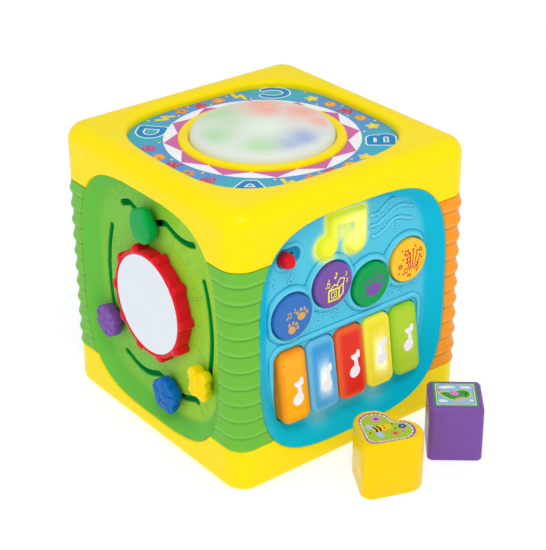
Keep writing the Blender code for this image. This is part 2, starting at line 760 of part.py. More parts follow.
def make_switch():
    """A slide switch: its block shows in the pit, and its foot runs behind the slot."""
    half_x, half_z = SWITCH_KNOB_SIZE[0] / 2, SWITCH_KNOB_SIZE[1] / 2
    place = (SWITCH_REST_X, 0.0, SWITCH_PIT_CENTRE[1])
    knob = add_part("switch_knob", box_mesh((-half_x, 0.0040, -half_z), (half_x, 0.0142, half_z)), "red",
                    "front", place)
    bevel(knob, 0.0025, 1)
    join(knob, add_tool(box_mesh((-0.0020, 0.0140, -0.0015), (0.0020, 0.0182, 0.0015)), "front", place))
    join(knob, add_tool(box_mesh((-0.0060, 0.0170, -0.0045), (0.0060, 0.0186, 0.0045)), "front", place))


def make_note_lens():
    add_part("note_lens", side_plate_mesh([note_outline()], 0.0088, FLOOR_BACK), "lens", "front")


def make_electronics():
    mat = rounded_rectangle((-0.080, 0.046), (0.080, 0.166), 0.006)
    add_part("key_contact_mat", side_plate_mesh([mat], 0.0214, 0.0234), "rubber", "front")
    board = rounded_rectangle((-0.078, 0.050), (0.078, 0.164), 0.002, 2)
    add_part("main_board", side_plate_mesh([board], 0.0238, 0.0254), "board", "front")
    speaker = ((0.0, 0.0270), (0.0090, 0.0270), (0.0100, 0.0200), (0.0180, 0.0165), (0.0180, 0.0150),
               (0.0, 0.0150))
    turned_part("speaker", speaker, "dark", "front", (0.0450, 0.0, 0.1900), 24)


# ------------------------------------------------------------------ mirror side

def wave_point(travel, start_phase, centre):
    """Where a knob's stem is when its carriage has moved: a wheel of the wave's amplitude rolls along."""
    angle = 2.0 * math.pi * travel / WAVE_PERIOD + start_phase
    return (centre[0] + travel + WAVE_AMPLITUDE * math.cos(angle), centre[1] + WAVE_AMPLITUDE * math.sin(angle))


# name: rest centre of the carriage, phase at rest in degrees, travel to each end
WAVES = {
    "apple": ((-0.0070, 0.1949), 298.8, (-0.0430, 0.0560)),
    "flower": ((0.0190, 0.0486), 245.0, (-0.0720, 0.0330)),
}
ARC_KNOBS = {"tulip": -1.0, "butterfly": 1.0}


def wave_path(name, count=17):
    centre, phase, (low, high) = WAVES[name]
    steps = [low + (high - low) * i / (count - 1) for i in range(count)]
    return [wave_point(step, math.radians(phase), centre) for step in steps]


def arc_point(sign, z):
    centre_x = sign * (ARC_REACH - ARC_RADIUS)
    return (centre_x + sign * math.sqrt(ARC_RADIUS ** 2 - (z - ARC_CENTRE_Z) ** 2), z)


def arc_path(sign, count=9):
    return [arc_point(sign, ARC_REST_Z + (ARC_TOP_Z - ARC_REST_Z) * i / (count - 1)) for i in range(count)]


def make_mirror_panel():
    panel = dished_panel("mirror_panel", "left", "lime")
    for name in WAVES:
        outline_hole(panel, "left", stroke(wave_path(name), SLOT_HALF_WIDTH))
    for sign in ARC_KNOBS.values():
        outline_hole(panel, "left", stroke(arc_path(sign), SLOT_HALF_WIDTH))
    round_hole(panel, "left", (0.0, MIRROR_CENTRE_Z), HUB_HOLE_RADIUS, 20)


def make_mirror_ring():
    """The ring turns with its mirror on a hub that passes through the panel."""
    place = (0.0, 0.0, MIRROR_CENTRE_Z)

    def reach(angle):
        wave = math.cos(angle * RING_BUMPS)
        return RING_RADIUS + (RING_BUMP_REACH - RING_RADIUS) * max(0.0, wave) ** 1.5

    outline = radial_outline(reach, RING_BUMPS * 6)
    ring = add_part("mirror_ring", side_plate_mesh([outline], RING_FRONT_DEPTH, RING_BACK_DEPTH), "red", "left",
                    place)
    seat = MIRROR_DEPTH + MIRROR_THICKNESS + GAP
    cut(ring, turned_tool(rod_profile(MIRROR_RADIUS + 0.0004, -0.01, seat), "left", place, 30))
    web_back = seat + 0.002
    hollow = ((HUB_RADIUS, 0.02), (0.0425, 0.02), (0.0425, web_back), (HUB_RADIUS, web_back))
    cut(ring, turned_tool(hollow, "left", place, 24))
    join(ring, turned_tool(rod_profile(HUB_RADIUS, web_back - 0.001, 0.0156), "left", place, 24))
    cut(ring, turned_tool(rod_profile(0.0034, 0.0080, 0.02), "left", place, 12))

    mirror = rod_profile(MIRROR_RADIUS, MIRROR_DEPTH, MIRROR_DEPTH + MIRROR_THICKNESS)
    turned_part("mirror_disc", mirror, "mirror", "left", place, 30)
    retainer = ((0.0, 0.0175), (0.0130, 0.0175), (0.0130, 0.0159), (0.0030, 0.0159), (0.0030, 0.0085),
                (0.0, 0.0085))
    turned_part("mirror_retainer", retainer, "dark", "left", place, 14)


def knob_reach(shape):
    """The radius of each slider knob's outline as a function of the angle."""
    if shape == "apple":
        return lambda a: 0.0150 * (1.0 - 0.16 * max(0.0, math.sin(a)) ** 12 + 0.04 * math.cos(2.0 * a))
    if shape == "flower":
        return lambda a: 0.0152 * (1.0 + 0.11 * math.cos(5.0 * (a - math.pi / 2.0)))
    if shape == "tulip":
        return lambda a: 0.0145 * (1.0 + 0.09 * math.cos(6.0 * (a - math.pi / 2.0)))
    return lambda a: 0.0138 * (1.0 + 0.10 * math.cos(4.0 * (a - math.pi / 4.0)) + 0.04 * math.cos(8.0 * a))


def make_slider(name, colour, stem, washer_centre, washer_hole, head_radius):
    """A knob in front of the slot, a washer behind it, and the screw that holds the two together."""
    place = (stem[0], 0.0, stem[1])
    outline = radial_outline(knob_reach(name), 24)
    rings = [[(x * scale, depth, z * scale) for x, z in outline] for depth, scale in KNOB_PROFILE]
    knob = add_part(name + "_knob", loft_mesh(rings), colour, "left", place)
    join(knob, turned_tool(rod_profile(STEM_RADIUS, KNOB_BACK_DEPTH - 0.001, FLOOR_BACK + 0.0011), "left", place,
                           12))
    cut(knob, turned_tool(rod_profile(SCREW_RADIUS + GAP, 0.0085, 0.02), "left", place, 10))

    washer_front = FLOOR_BACK + 0.0014
    washer_back = washer_front + 0.0012
    washer = ((washer_hole, washer_front), (washer_hole, washer_back), (0.0088, washer_back),
              (0.0088, washer_front))
    turned_part(name + "_washer", washer, "dark", "left", (washer_centre[0], 0.0, washer_centre[1]), 14)

    head_front = washer_back + GAP
    screw = ((0.0, head_front + 0.0015), (head_radius, head_front + 0.0015), (head_radius, head_front),
             (SCREW_RADIUS, head_front), (SCREW_RADIUS, 0.0088), (0.0, 0.0088))
    turned_part(name + "_screw", screw, "steel", "left", place, 8)


def make_sliders():
    for name, colour in (("apple", "green"), ("flower", "blue")):
        centre, phase, _ = WAVES[name]
        stem = wave_point(0.0, math.radians(phase), centre)
        hole = WAVE_AMPLITUDE + SCREW_RADIUS + 0.0004
        make_slider(name, colour, stem, centre, hole, 0.0082)
    for name, colour in (("tulip", "purple"), ("butterfly", "yellow")):
        stem = arc_point(ARC_KNOBS[name], ARC_REST_Z)
        make_slider(name, colour, stem, stem, SCREW_RADIUS + 0.0004, 0.0040)


# ------------------------------------------------------------------ sorter side and blocks

def square_outline(size, radius=0.006):
    return rounded_rectangle((-size / 2, -size / 2), (size / 2, size / 2), radius)


def turned_heart(width, length):
    """The heart with its tip down, as the sorter hole shows it."""
    return [(y, x) for x, y in heart_outline(width, length)][::-1]


def moved(outline, centre):
    return [(x + centre[0], z + centre[1]) for x, z in outline]


def make_sorter_panel():
    panel = dished_panel("sorter_panel", "right", "orange")
    pivot_block = 0.0070
    for sign in (-1.0, 1.0):
        inner = sign * (DOOR_HALF_WIDTH + DOOR_GAP)
        outer = inner + sign * pivot_block
        low = (min(inner, outer), FLOOR_DEPTH + 0.001, DOOR_PIVOT_Z - 0.004)
        high = (max(inner, outer), DOOR_PIVOT_DEPTH + 0.0036, DOOR_PIVOT_Z + 0.004)
        join(panel, add_tool(box_mesh(low, high), "right"))
    edge = DOOR_HALF_WIDTH + DOOR_GAP
    doorway = rounded_rectangle((-edge, DOOR_BOTTOM_Z - DOOR_SWING_GAP), (edge, DOOR_TOP_Z + DOOR_GAP), 0.001, 2)
    outline_hole(panel, "right", doorway)
    pin_hole = edge + 0.0040
    bore = add_tool(pin_mesh(0.0018, pin_hole), "right", (0.0, DOOR_PIVOT_DEPTH, DOOR_PIVOT_Z))
    cut(panel, bore)
    heart = turned_heart(HEART_WIDTH + 2 * BLOCK_HOLE_CLEARANCE, HEART_LENGTH + 2 * BLOCK_HOLE_CLEARANCE)
    outline_hole(panel, "right", moved(heart, HEART_HOLE))
    square = square_outline(SQUARE_SIZE + 2 * BLOCK_HOLE_CLEARANCE)
    outline_hole(panel, "right", moved(square, SQUARE_HOLE))


def pin_mesh(radius, half_length, sides=12):
    """A round pin along x, centred on its own origin."""
    work = bmesh.new()
    bmesh.ops.create_cone(work, cap_ends=True, segments=sides, radius1=radius, radius2=radius,
                          depth=2.0 * half_length, matrix=Matrix.Rotation(math.radians(90.0), 4, "Y"))
    return finish_mesh(work, "pin")


def make_sorter_door():
    place = (0.0, DOOR_PIVOT_DEPTH, DOOR_PIVOT_Z)
    low = (-DOOR_HALF_WIDTH, DOOR_FRONT_DEPTH - DOOR_PIVOT_DEPTH, DOOR_BOTTOM_Z - DOOR_PIVOT_Z)
    high = (DOOR_HALF_WIDTH, DOOR_BACK_DEPTH - DOOR_PIVOT_DEPTH, DOOR_TOP_Z - DOOR_PIVOT_Z)
    door = add_part("sorter_door", box_mesh(low, high), "yellow", "right", place)
    join(door, add_tool(pin_mesh(0.0015, DOOR_HALF_WIDTH + DOOR_GAP + 0.0036), "right", place))
    grip_low = (-0.012, -0.0075, 0.0460)
    grip_high = (0.012, -0.0020, 0.0510)
    join(door, add_tool(box_mesh(grip_low, grip_high), "right", place))


def make_sorter_bin():
    """A box behind the panel that catches the blocks, open towards the side."""
    low = (-BIN_HALF_WIDTH, BIN_FRONT_DEPTH, BIN_BOTTOM_Z)
    high = (BIN_HALF_WIDTH, BIN_BACK_DEPTH, BIN_TOP_Z)
    tray = add_part("sorter_bin", box_mesh(low, high), "cyan", "right")
    inner_low = (low[0] + BIN_WALL, low[1] - BIN_WALL, low[2] + BIN_WALL)
    inner_high = (high[0] - BIN_WALL, high[1] - BIN_WALL, high[2] - BIN_WALL)
    cut(tray, add_tool(box_mesh(inner_low, inner_high), "right"))


def make_block(name, colour, outline, place):
    """A hollow block, open underneath. The function outline gives its outline at a distance inside its side."""
    levels = ((0.0, 0.0), (0.0, BLOCK_HEIGHT - BLOCK_ROUNDING), (BLOCK_ROUNDING, BLOCK_HEIGHT))
    outside = [[(x, y, z) for x, y in outline(inset)] for inset, z in levels]
    inside = [[(x, y, z) for x, y in outline(BLOCK_WALL)] for z in (BLOCK_HEIGHT - BLOCK_WALL, 0.0)]
    x, y, turn = place
    add_part(name, loft_mesh(inside + outside), colour, at=(x, y, 0.0), turn=turn)


def make_blocks():
    make_block("heart_block", "yellow",
               lambda inset: heart_outline(HEART_WIDTH - 2 * inset, HEART_LENGTH - 2 * inset), HEART_PLACE)
    make_block("square_block", "purple",
               lambda inset: square_outline(SQUARE_SIZE - 2 * inset, BLOCK_ROUNDING), SQUARE_PLACE)


# ------------------------------------------------------------------ gear side

def gear_radius(teeth):
    return teeth * TOOTH_PITCH / (2.0 * math.pi)


def gear_layout():
    """Centre, teeth and the angle of a tooth for each gear, so that every pair is in mesh at rest."""
    large = {"centre": LARGE_GEAR_CENTRE, "teeth": LARGE_TEETH, "tooth_at": 0.0}
    layout = {"gear_large": large}
    neighbours = (("gear_medium", MEDIUM_TEETH, MEDIUM_GEAR_ANGLE), ("gear_small", SMALL_TEETH, SMALL_GEAR_ANGLE))
    for name, teeth, angle in neighbours:
        reach = gear_radius(LARGE_TEETH) + gear_radius(teeth) + GEAR_MESH_GAP
        heading = math.radians(angle)
        centre = (large["centre"][0] + reach * math.cos(heading), large["centre"][1] + reach * math.sin(heading))
        phase_here = LARGE_TEETH * heading
        tooth_at = heading + math.pi - (math.pi - phase_here) / teeth
        layout[name] = {"centre": centre, "teeth": teeth, "tooth_at": tooth_at}
    return layout


def gear_outline(teeth, tooth_at):
    radius = gear_radius(teeth)
    return radial_outline(lambda a: radius + TOOTH_HEIGHT * math.cos(teeth * (a - tooth_at)), teeth * 6)


def make_gear_side():
    panel = dished_panel("gear_panel", "back", "cyan")
    colours = {"gear_large": "red", "gear_medium": "yellow", "gear_small": "purple"}
    for name, gear in gear_layout().items():
        x, z = gear["centre"]
        round_hole(panel, "back", gear["centre"], AXLE_HOLE_RADIUS, 16)
        outline = gear_outline(gear["teeth"], gear["tooth_at"])
        wheel = add_part(name, side_plate_mesh([outline], GEAR_FRONT_DEPTH, GEAR_BACK_DEPTH), colours[name],
                         "back", (x, 0.0, z))
        snap = FLOOR_BACK + 0.0004
        axle = ((0.0, snap + 0.0030), (AXLE_RADIUS - 0.001, snap + 0.0030), (AXLE_SNAP_RADIUS, snap),
                (AXLE_RADIUS, snap), (AXLE_RADIUS, GEAR_BACK_DEPTH - 0.001), (0.0, GEAR_BACK_DEPTH - 0.001))
        join(wheel, turned_tool(axle, "back", (x, 0.0, z), 16))


# ------------------------------------------------------------------ base

def make_battery_bay():
    (low_x, low_y), (high_x, high_y) = BATTERY_OPENING
    margin = BATTERY_BOX_MARGIN
    box_low = (low_x - margin, low_y - margin, WALL + GAP)
    box_high = (high_x + margin, high_y + margin, BATTERY_BOX_TOP)
    bay = add_part("battery_box", box_mesh(box_low, box_high), "dark")
    wall = 0.002
    cut(bay, add_tool(box_mesh((low_x, low_y, 0.0), (high_x, high_y, BATTERY_BOX_TOP - wall))))
    screw_y = 0.0815
    join(bay, turned_tool(rod_profile(0.0040, 0.0045, BATTERY_BOX_TOP - 0.001), at=(0.0, screw_y, 0.0),
                          segments=14))
    cut(bay, turned_tool(rod_profile(0.0019, 0.0, 0.0140), at=(0.0, screw_y, 0.0), segments=10))

    inset = 0.0004
    door_low = (low_x + inset, low_y + inset, 0.0006)
    door_high = (high_x - inset, high_y - inset, 0.0030)
    door = add_part("battery_door", box_mesh(door_low, door_high), "yellow")
    cut(door, turned_tool(rod_profile(0.0020, 0.0, 0.01), at=(0.0, screw_y, 0.0), segments=12))
    cut(door, turned_tool(rod_profile(0.0036, 0.0, 0.0019), at=(0.0, screw_y, 0.0), segments=12))
    screw = ((0.0, 0.0120), (0.0015, 0.0120), (0.0015, 0.0016), (0.0032, 0.0016), (0.0032, 0.0007), (0.0, 0.0007))
    turned_part("battery_screw", screw, "steel", at=(0.0, screw_y, 0.0), segments=12)

    for number, y in enumerate(CELL_ROWS_Y, start=1):
        cell = pin_mesh(CELL_RADIUS, CELL_LENGTH / 2, 16)
        add_part(f"battery_cell_{number}", cell, "dark", at=(0.0, y, CELL_Z))


def main():
    tools = shell_tools()
    make_top_cap(tools)
    make_bottom_cap(tools)
    make_corner_posts(tools)
    make_case_screws()
    make_drum()
    make_piano_panel()
    make_keys()
    make_buttons()
    make_switch()
    make_note_lens()
    make_electronics()
    make_mirror_panel()
    make_mirror_ring()
    make_sliders()
    make_sorter_panel()
    make_sorter_door()
    make_sorter_bin()
    make_blocks()
    make_gear_side()
    make_battery_bay()


main()
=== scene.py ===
"""The looks of the baby activity cube: fine surfaces, prints, materials, light and camera.

Design sizes are in millimetres and become metres when a piece is made. A plane is an origin, a direction to
the right and a direction up. A point on it is (right, up, out), where out is its height above the plane.
"""
import json
import math

import bpy
import numpy as np
from mathutils import Matrix, Vector


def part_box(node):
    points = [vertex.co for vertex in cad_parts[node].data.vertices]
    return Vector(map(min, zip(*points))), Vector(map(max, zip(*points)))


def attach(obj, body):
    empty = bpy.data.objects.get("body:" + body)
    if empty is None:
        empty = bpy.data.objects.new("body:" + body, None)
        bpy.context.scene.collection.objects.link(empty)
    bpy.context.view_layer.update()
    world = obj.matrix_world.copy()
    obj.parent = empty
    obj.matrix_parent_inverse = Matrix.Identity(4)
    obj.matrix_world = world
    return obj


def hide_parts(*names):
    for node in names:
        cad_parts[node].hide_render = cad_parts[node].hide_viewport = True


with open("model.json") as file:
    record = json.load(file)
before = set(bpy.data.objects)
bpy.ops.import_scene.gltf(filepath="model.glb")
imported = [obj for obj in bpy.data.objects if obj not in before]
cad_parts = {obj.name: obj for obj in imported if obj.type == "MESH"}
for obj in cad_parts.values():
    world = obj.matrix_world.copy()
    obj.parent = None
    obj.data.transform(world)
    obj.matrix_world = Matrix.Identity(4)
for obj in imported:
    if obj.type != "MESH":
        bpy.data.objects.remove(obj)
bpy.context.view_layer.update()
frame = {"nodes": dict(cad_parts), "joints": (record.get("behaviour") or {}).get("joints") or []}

MM = 0.001
SIDES = ("front", "right", "back", "left")
HALF = 120.0
HEIGHT = 245.0
CORNER = 19.5
FLAT = HALF - CORNER
TOP_ROUND = 14.0
BOTTOM_ROUND = 8.0
CAP_JOINTS = (39.85, 196.85)
JOINT_GAP = 0.15
SHELL_WALL = 3.2
OPENING_HALF_HEIGHT = 103.0
OPENING_MIDDLE = 120.0
OPENING_POWER = 3.5
OPENING_HALF_WIDTH = {"front": 97.0, "right": 95.6, "back": 97.0, "left": 95.6}
FLOOR_DEPTH = 12.0
RIM_DEPTH = 0.8
FLOOR_HALF_WIDTH = 79.0
FLOOR_TOP = 213.0
FLOOR_BOTTOM = {"front": 40.0, "right": 34.0, "back": 34.0, "left": 30.5}
RECESS = (97.4, 94.0)
RECESS_POWER = 3.4
LABEL_TOP = 238.0


# ------------------------------------------------------------------ planes

def plane(origin, right, up):
    right, up = np.array(right, float), np.array(up, float)
    return np.array(origin, float), right, up, np.cross(right, up)


PLANES = {
    "front": plane((0, -HALF, 0), (1, 0, 0), (0, 0, 1)),
    "right": plane((HALF, 0, 0), (0, 1, 0), (0, 0, 1)),
    "back": plane((0, HALF, 0), (-1, 0, 0), (0, 0, 1)),
    "left": plane((-HALF, 0, 0), (0, -1, 0), (0, 0, 1)),
    "top": plane((0, 0, LABEL_TOP), (1, 0, 0), (0, 1, 0)),
    "under": plane((0, 0, 0), (1, 0, 0), (0, -1, 0)),
}


def turned_plane(centre, height, degrees):
    """A level plane at a height, turned about the vertical."""
    c, s = math.cos(math.radians(degrees)), math.sin(math.radians(degrees))
    return plane((centre[0], centre[1], height), (c, s, 0), (-s, c, 0))


def on_plane(where, points):
    origin, right, up, out = where
    points = np.asarray(points, float)
    return origin + points[:, :1] * right + points[:, 1:2] * up + points[:, 2:3] * out


def node_centre(node, where):
    """Where the middle of a CAD node lies on a plane, in millimetres."""
    low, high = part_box(node)
    middle = (np.array(low) + np.array(high)) / 2 / MM
    origin, right, up, _ = where
    return float((middle - origin) @ right), float((middle - origin) @ up)


# ------------------------------------------------------------------ materials

def linear(colour):
    """Screen colours from 0 to 255 as the linear values that shaders take."""
    shares = [c / 255.0 for c in colour]
    return [c / 12.92 if c <= 0.04045 else ((c + 0.055) / 1.055) ** 2.4 for c in shares]


class Paint:
    """A material under construction: its node tree and its Principled shader."""

    def __init__(self, name, rough=0.3, metallic=0.0, coat=0.0):
        self.material = bpy.data.materials.new(name)
        self.material.use_nodes = True
        self.nodes = self.material.node_tree.nodes
        self.links = self.material.node_tree.links
        self.shader = self.nodes["Principled BSDF"]
        self.put(self.shader, {"Roughness": rough, "IOR": 1.47, "Metallic": metallic, "Coat Weight": coat,
                               "Specular IOR Level": 0.12})
        self.place = self.nodes.new("ShaderNodeTexCoord").outputs["Object"]

    def put(self, node, values):
        """Sets inputs of a node: a socket is linked, a colour or a number becomes the input's own value."""
        for key, value in values.items():
            socket = node.inputs[key]
            if isinstance(value, (list, tuple)):
                socket.default_value = (*value, 1.0)
            elif isinstance(value, (int, float)):
                socket.default_value = value
            else:
                self.links.new(value, socket)
        return node

    def noise(self, scale, detail=2.0):
        node = self.nodes.new("ShaderNodeTexNoise")
        return self.put(node, {"Scale": scale, "Detail": detail, "Vector": self.place}).outputs["Fac"]

    def mask(self, name):
        """A value from 0 to 1 that the mesh carries at each point."""
        node = self.nodes.new("ShaderNodeAttribute")
        node.attribute_name = name
        return node.outputs["Fac"]

    def remap(self, value, low, high, to_low, to_high):
        node = self.nodes.new("ShaderNodeMapRange")
        return self.put(node, {"Value": value, "From Min": low, "From Max": high, "To Min": to_low,
                               "To Max": to_high}).outputs["Result"]

    def mix(self, share, first, second, kind="MIX"):
        """Blends two colours, each a list or a socket."""
        node = self.nodes.new("ShaderNodeMix")
        node.data_type = "RGBA"
        node.blend_type = kind
        return self.put(node, {"Factor": share, 6: first, 7: second}).outputs[2]

    def tint(self, base, *layers):
        """Blends screen colours over a base, each where the mesh's mask of that name says."""
        for mask, colour in layers:
            base = self.mix(self.mask(mask), base, linear(colour))
        return base

    def colour(self, value):
        """Sets the colour with the faint cloudiness that moulded plastic has."""
        cloud = self.remap(self.noise(38.0, 3.0), 0.3, 0.7, 0.0, 1.0)
        if isinstance(value, (list, tuple)):
            value = self.mix(cloud, [c * 0.99 for c in value], [min(1.0, c * 1.01) for c in value])
        else:
            value = self.mix(self.remap(cloud, 0.0, 1.0, 0.0, 0.04), value, [0.5, 0.5, 0.5], "SOFT_LIGHT")
        self.put(self.shader, {"Base Color": value})
        return self

    def surface(self, rough, spread=0.05, bump=0.10, scale=900.0):
        """Varies the gloss a little and adds the fine orange peel of a mould."""
        gloss = self.remap(self.noise(70.0, 4.0), 0.3, 0.7, rough - spread, rough + spread)
        node = self.nodes.new("ShaderNodeBump")
        self.put(node, {"Strength": bump, "Distance": 0.0002, "Height": self.noise(scale, 3.0)})
        self.put(self.shader, {"Roughness": gloss, "Normal": node.outputs["Normal"]})
        return self

    def glow(self, value, strength):
        """Light from inside: a colour at a strength, each a value or a socket."""
        self.put(self.shader, {"Emission Color": value, "Emission Strength": strength})
        return self

    def skin(self, weight, reach):
        """Lets light into the plastic a little."""
        self.put(self.shader, {"Subsurface Weight": weight, "Subsurface Scale": reach})
        return self


def plastic(name, colour, rough=0.28, bump=0.05):
    return Paint(name).colour(linear(colour)).surface(rough, bump=bump).material


def print_ink(name, colour):
    return Paint(name).colour(linear(colour)).surface(0.35, 0.03, 0.04, 2500.0).material


INKS = {
    "white": (244, 246, 250), "magenta": (209, 107, 172), "deep_blue": (0, 134, 198), "sun": (247, 216, 40),
    "coral": (214, 66, 84), "tangerine": (238, 146, 60), "sand": (226, 172, 84), "violet": (128, 82, 168),
    "leaf": (60, 160, 60), "sky": (150, 195, 232), "meadow": (176, 200, 60), "plum": (150, 78, 150),
    "rose": (220, 140, 200), "ink": (32, 26, 30), "navy": (70, 70, 165), "lemon": (255, 236, 50),
    "yolk": (250, 205, 30), "blush": (232, 168, 170), "pale_blue": (172, 205, 235), "cherry": (215, 40, 60),
    "icon_white": (250, 244, 250),
}
INK = {name: print_ink("ink_" + name, colour) for name, colour in INKS.items()}

SHELL_YELLOW = (255, 229, 0)
PURPLE = (124, 82, 166)
# floor colour of a cyan panel, its rim in painted shade, painted shade in hollows and painted highlight on raised lips
CYAN = ((84, 200, 228), (0, 190, 222), (0, 150, 190), (140, 226, 246))
YELLOW = plastic("yellow_shell", SHELL_YELLOW, 0.30)
RED = plastic("red_gloss", (228, 22, 36), 0.22)
SLOT_GREEN = plastic("slot_green", (0, 176, 80), 0.35)


def relief_shading(paint, base, shade_colour, light):
    """Painted shade in hollows and a painted highlight on raised lips, as the mesh's crease mask says."""
    # hollow is the share of painted shade, lip the share of painted highlight
    hollow = paint.remap(paint.mask("crease_shading"), 0.46, 0.10, 0.0, 0.85)
    lip = paint.remap(paint.mask("crease_shading"), 0.56, 1.0, 0.0, 0.55)
    return paint.mix(lip, paint.mix(hollow, base, linear(shade_colour)), linear(light))


def rib_shaded_plastic(name, colour, rough):
    """Plastic with painted light from its mesh's mask: 0 is painted shade in grooves, 0.5 plain, 1 a painted highlight
    on lips.
    """
    paint = Paint(name)
    base = linear(colour)
    # dark is the painted shade, light the painted highlight
    dark = paint.mix(paint.remap(paint.mask("light_and_shade"), 0.0, 0.5, 1.0, 0.0), base, [c * 0.42 for c in base])
    light = paint.remap(paint.mask("light_and_shade"), 0.5, 1.0, 0.0, 0.5)
    paint.colour(paint.mix(light, dark, [min(1.0, c * 1.2 + 0.10) for c in base])).surface(rough, bump=0.14)
    return paint.material


def rim_shaded_panel(name, floor, rim, shade_colour, light, rough):
    """A dished panel whose sloping rim is painted deeper than its floor as painted shade, with painted shade in
    hollows and a painted highlight on raised lips.
    """
    paint = Paint(name)
    base = paint.tint(linear(floor), ("light_and_shade", rim))
    paint.colour(relief_shading(paint, base, shade_colour, light)).surface(rough, 0.05, 0.12)
    return paint.material


# ------------------------------------------------------------------ meshes

class Surface:
    """Points, faces and the paint number of each face, gathered for one piece."""

    def __init__(self):
        self.points, self.faces, self.paints = [], [], []

    def add(self, points, faces, paint=0):
        start = len(self.points)
        self.points.extend(tuple(float(c) for c in p) for p in points)
        self.faces.extend(tuple(int(i) + start for i in f) for f in faces)
        self.paints.extend([paint] * len(faces))
        return self


def make_piece(name, surface, where, materials, body, node=None, sharp=38.0, masks=None):
    """Turns a surface into an object that rides on a body and stands for a CAD node."""
    points = np.array(surface.points)
    world = (on_plane(where, points) if where is not None else points) * MM
    mesh = bpy.data.meshes.new(name)
    mesh.from_pydata(world.tolist(), [], surface.faces)
    mesh.polygons.foreach_set("material_index", surface.paints)
    for key, values in (masks or {}).items():
        mesh.attributes.new(key, "FLOAT", "POINT").data.foreach_set("value", np.asarray(values, np.float32))
    mesh.validate()
    mesh.shade_smooth()
    mesh.set_sharp_from_angle(angle=math.radians(sharp))
    piece = bpy.data.objects.new(name, mesh)
    bpy.context.scene.collection.objects.link(piece)
    for material in materials:
        mesh.materials.append(material)
    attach(piece, body)
    if node:
        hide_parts(node)


def clip_cells(points, field):
    """The faces of a grid of points where the field is positive, cut along the line where it is zero."""
    field = np.where(np.abs(field) < 1e-5, -1e-5, field)
    keep = field > 0
    total = int(keep.sum())
    number = np.full(field.shape, -1)
    number[keep] = np.arange(total)
    found = [points[keep]]
    crossings = []
    for first, second in ((np.s_[:, :-1], np.s_[:, 1:]), (np.s_[:-1, :], np.s_[1:, :])):
        cross = keep[first] != keep[second]
        a, b = field[first][cross], field[second][cross]
        share = (a / (a - b))[:, None]
        found.append(points[first][cross] * (1 - share) + points[second][cross] * share)
        index = np.full(cross.shape, -1)
        index[cross] = total + np.arange(int(cross.sum()))
        total += int(cross.sum())
        crossings.append(index)
    across, upward = crossings
    corners = (np.s_[:-1, :-1], np.s_[:-1, 1:], np.s_[1:, 1:], np.s_[1:, :-1])
    count = sum(keep[c].astype(int) for c in corners)
    faces = np.stack([number[c][count == 4] for c in corners], axis=1).tolist()
    for i, j in np.argwhere((count > 0) & (count < 4)):
        ring = (number[i, j], across[i, j], number[i, j + 1], upward[i, j + 1],
                number[i + 1, j + 1], across[i + 1, j], number[i + 1, j], upward[i, j])
        face = [int(v) for v in ring if v >= 0]
        if len(face) > 2:
            faces.append(face)
    return np.concatenate(found), [tuple(f) for f in faces]


def open_edges(faces):
    """The directed edges that only one face uses."""
    directed = {(a, b) for f in faces for a, b in zip(f, f[1:] + f[:1])}
    return sorted((a, b) for a, b in directed if (b, a) not in directed)


def skirt(points, faces, move):
    """A wall from every open edge to the same edge moved. Returns all points and the wall's faces."""
    edges = open_edges(faces)
    rim = sorted({v for e in edges for v in e})
    below = {v: len(points) + i for i, v in enumerate(rim)}
    wall = [(b, a, below[a], below[b]) for a, b in edges]
    return np.concatenate([points, points[rim] + move(points[rim])]), wall


def cut_sheet(across, upward, field):
    """The flat points (u, v) and faces of a grid over two axes, where the field is positive."""
    u, v = np.meshgrid(across, upward)
    return clip_cells(np.stack([u, v], axis=-1), field(u, v))


def thicken(flat, out, faces, depth):
    """Flat points lifted to their heights, with a wall down from every open edge."""
    points, wall = skirt(np.column_stack([flat, out]), faces, lambda p: np.array([0.0, 0.0, -depth]))
    return points, list(faces) + wall


def at_level(flat, out):
    return np.column_stack([flat, np.full(len(flat), out)])


def loft(rings, front=True, back=False):
    """Faces between rings of equally many points, from the back ring to the front ring."""
    count = len(rings[0])
    points = np.concatenate([np.asarray(r, float) for r in rings])
    faces = []
    for start in range(0, (len(rings) - 1) * count, count):
        for i in range(count):
            j = (i + 1) % count
            faces.append((start + i, start + j, start + count + j, start + count + i))
    if front:
        faces.append(tuple((len(rings) - 1) * count + i for i in range(count)))
    if back:
        faces.append(tuple(range(count))[::-1])
    return points, faces


def polar_ring(reach, out, count, centre=(0.0, 0.0)):
    """A ring of points. reach is a radius, or a function that gives one for each angle."""
    angles = np.arange(count) * 2 * math.pi / count
    radii = reach(angles) if callable(reach) else np.full(count, float(reach))
    flat = np.column_stack([centre[0] + radii * np.cos(angles), centre[1] + radii * np.sin(angles)])
    return at_level(flat, float(out))


def turned(profile, count, centre=(0.0, 0.0)):
    """Rings turned about an axis, from (radius, out) pairs."""
    return [polar_ring(r, out, count, centre) for r, out in profile]


def quarter(steps):
    """Angles from 0 to a right angle."""
    return [math.radians(90.0 * i / steps) for i in range(steps + 1)]


# ------------------------------------------------------------------ outlines, paths and fields

def turned_path(path, centre=(0.0, 0.0), size=1.0, degrees=0.0):
    c, s = math.cos(math.radians(degrees)) * size, math.sin(math.radians(degrees)) * size
    return [(centre[0] + x * c - y * s, centre[1] + x * s + y * c) for x, y in path]


def spoke(radius, angle, centre=(0.0, 0.0)):
    """The point at a radius and an angle from a centre."""
    return centre[0] + radius * math.cos(angle), centre[1] + radius * math.sin(angle)


def arc_path(centre, radius, start, end, count=12):
    return [spoke(radius, math.radians(start + (end - start) * i / count), centre) for i in range(count + 1)]


def star_path(points=5, inner=0.48):
    return [spoke(inner if i % 2 else 1.0, math.pi / 2 + math.pi * i / points) for i in range(2 * points)]


def spiral_path(turns=2.2, count=44):
    return [spoke(i / count, 2 * math.pi * turns * i / count) for i in range(count + 1)]


def superellipse_reach(a, b, power):
    return lambda t: (np.abs(np.cos(t) / a) ** power + np.abs(np.sin(t) / b) ** power) ** (-1.0 / power)


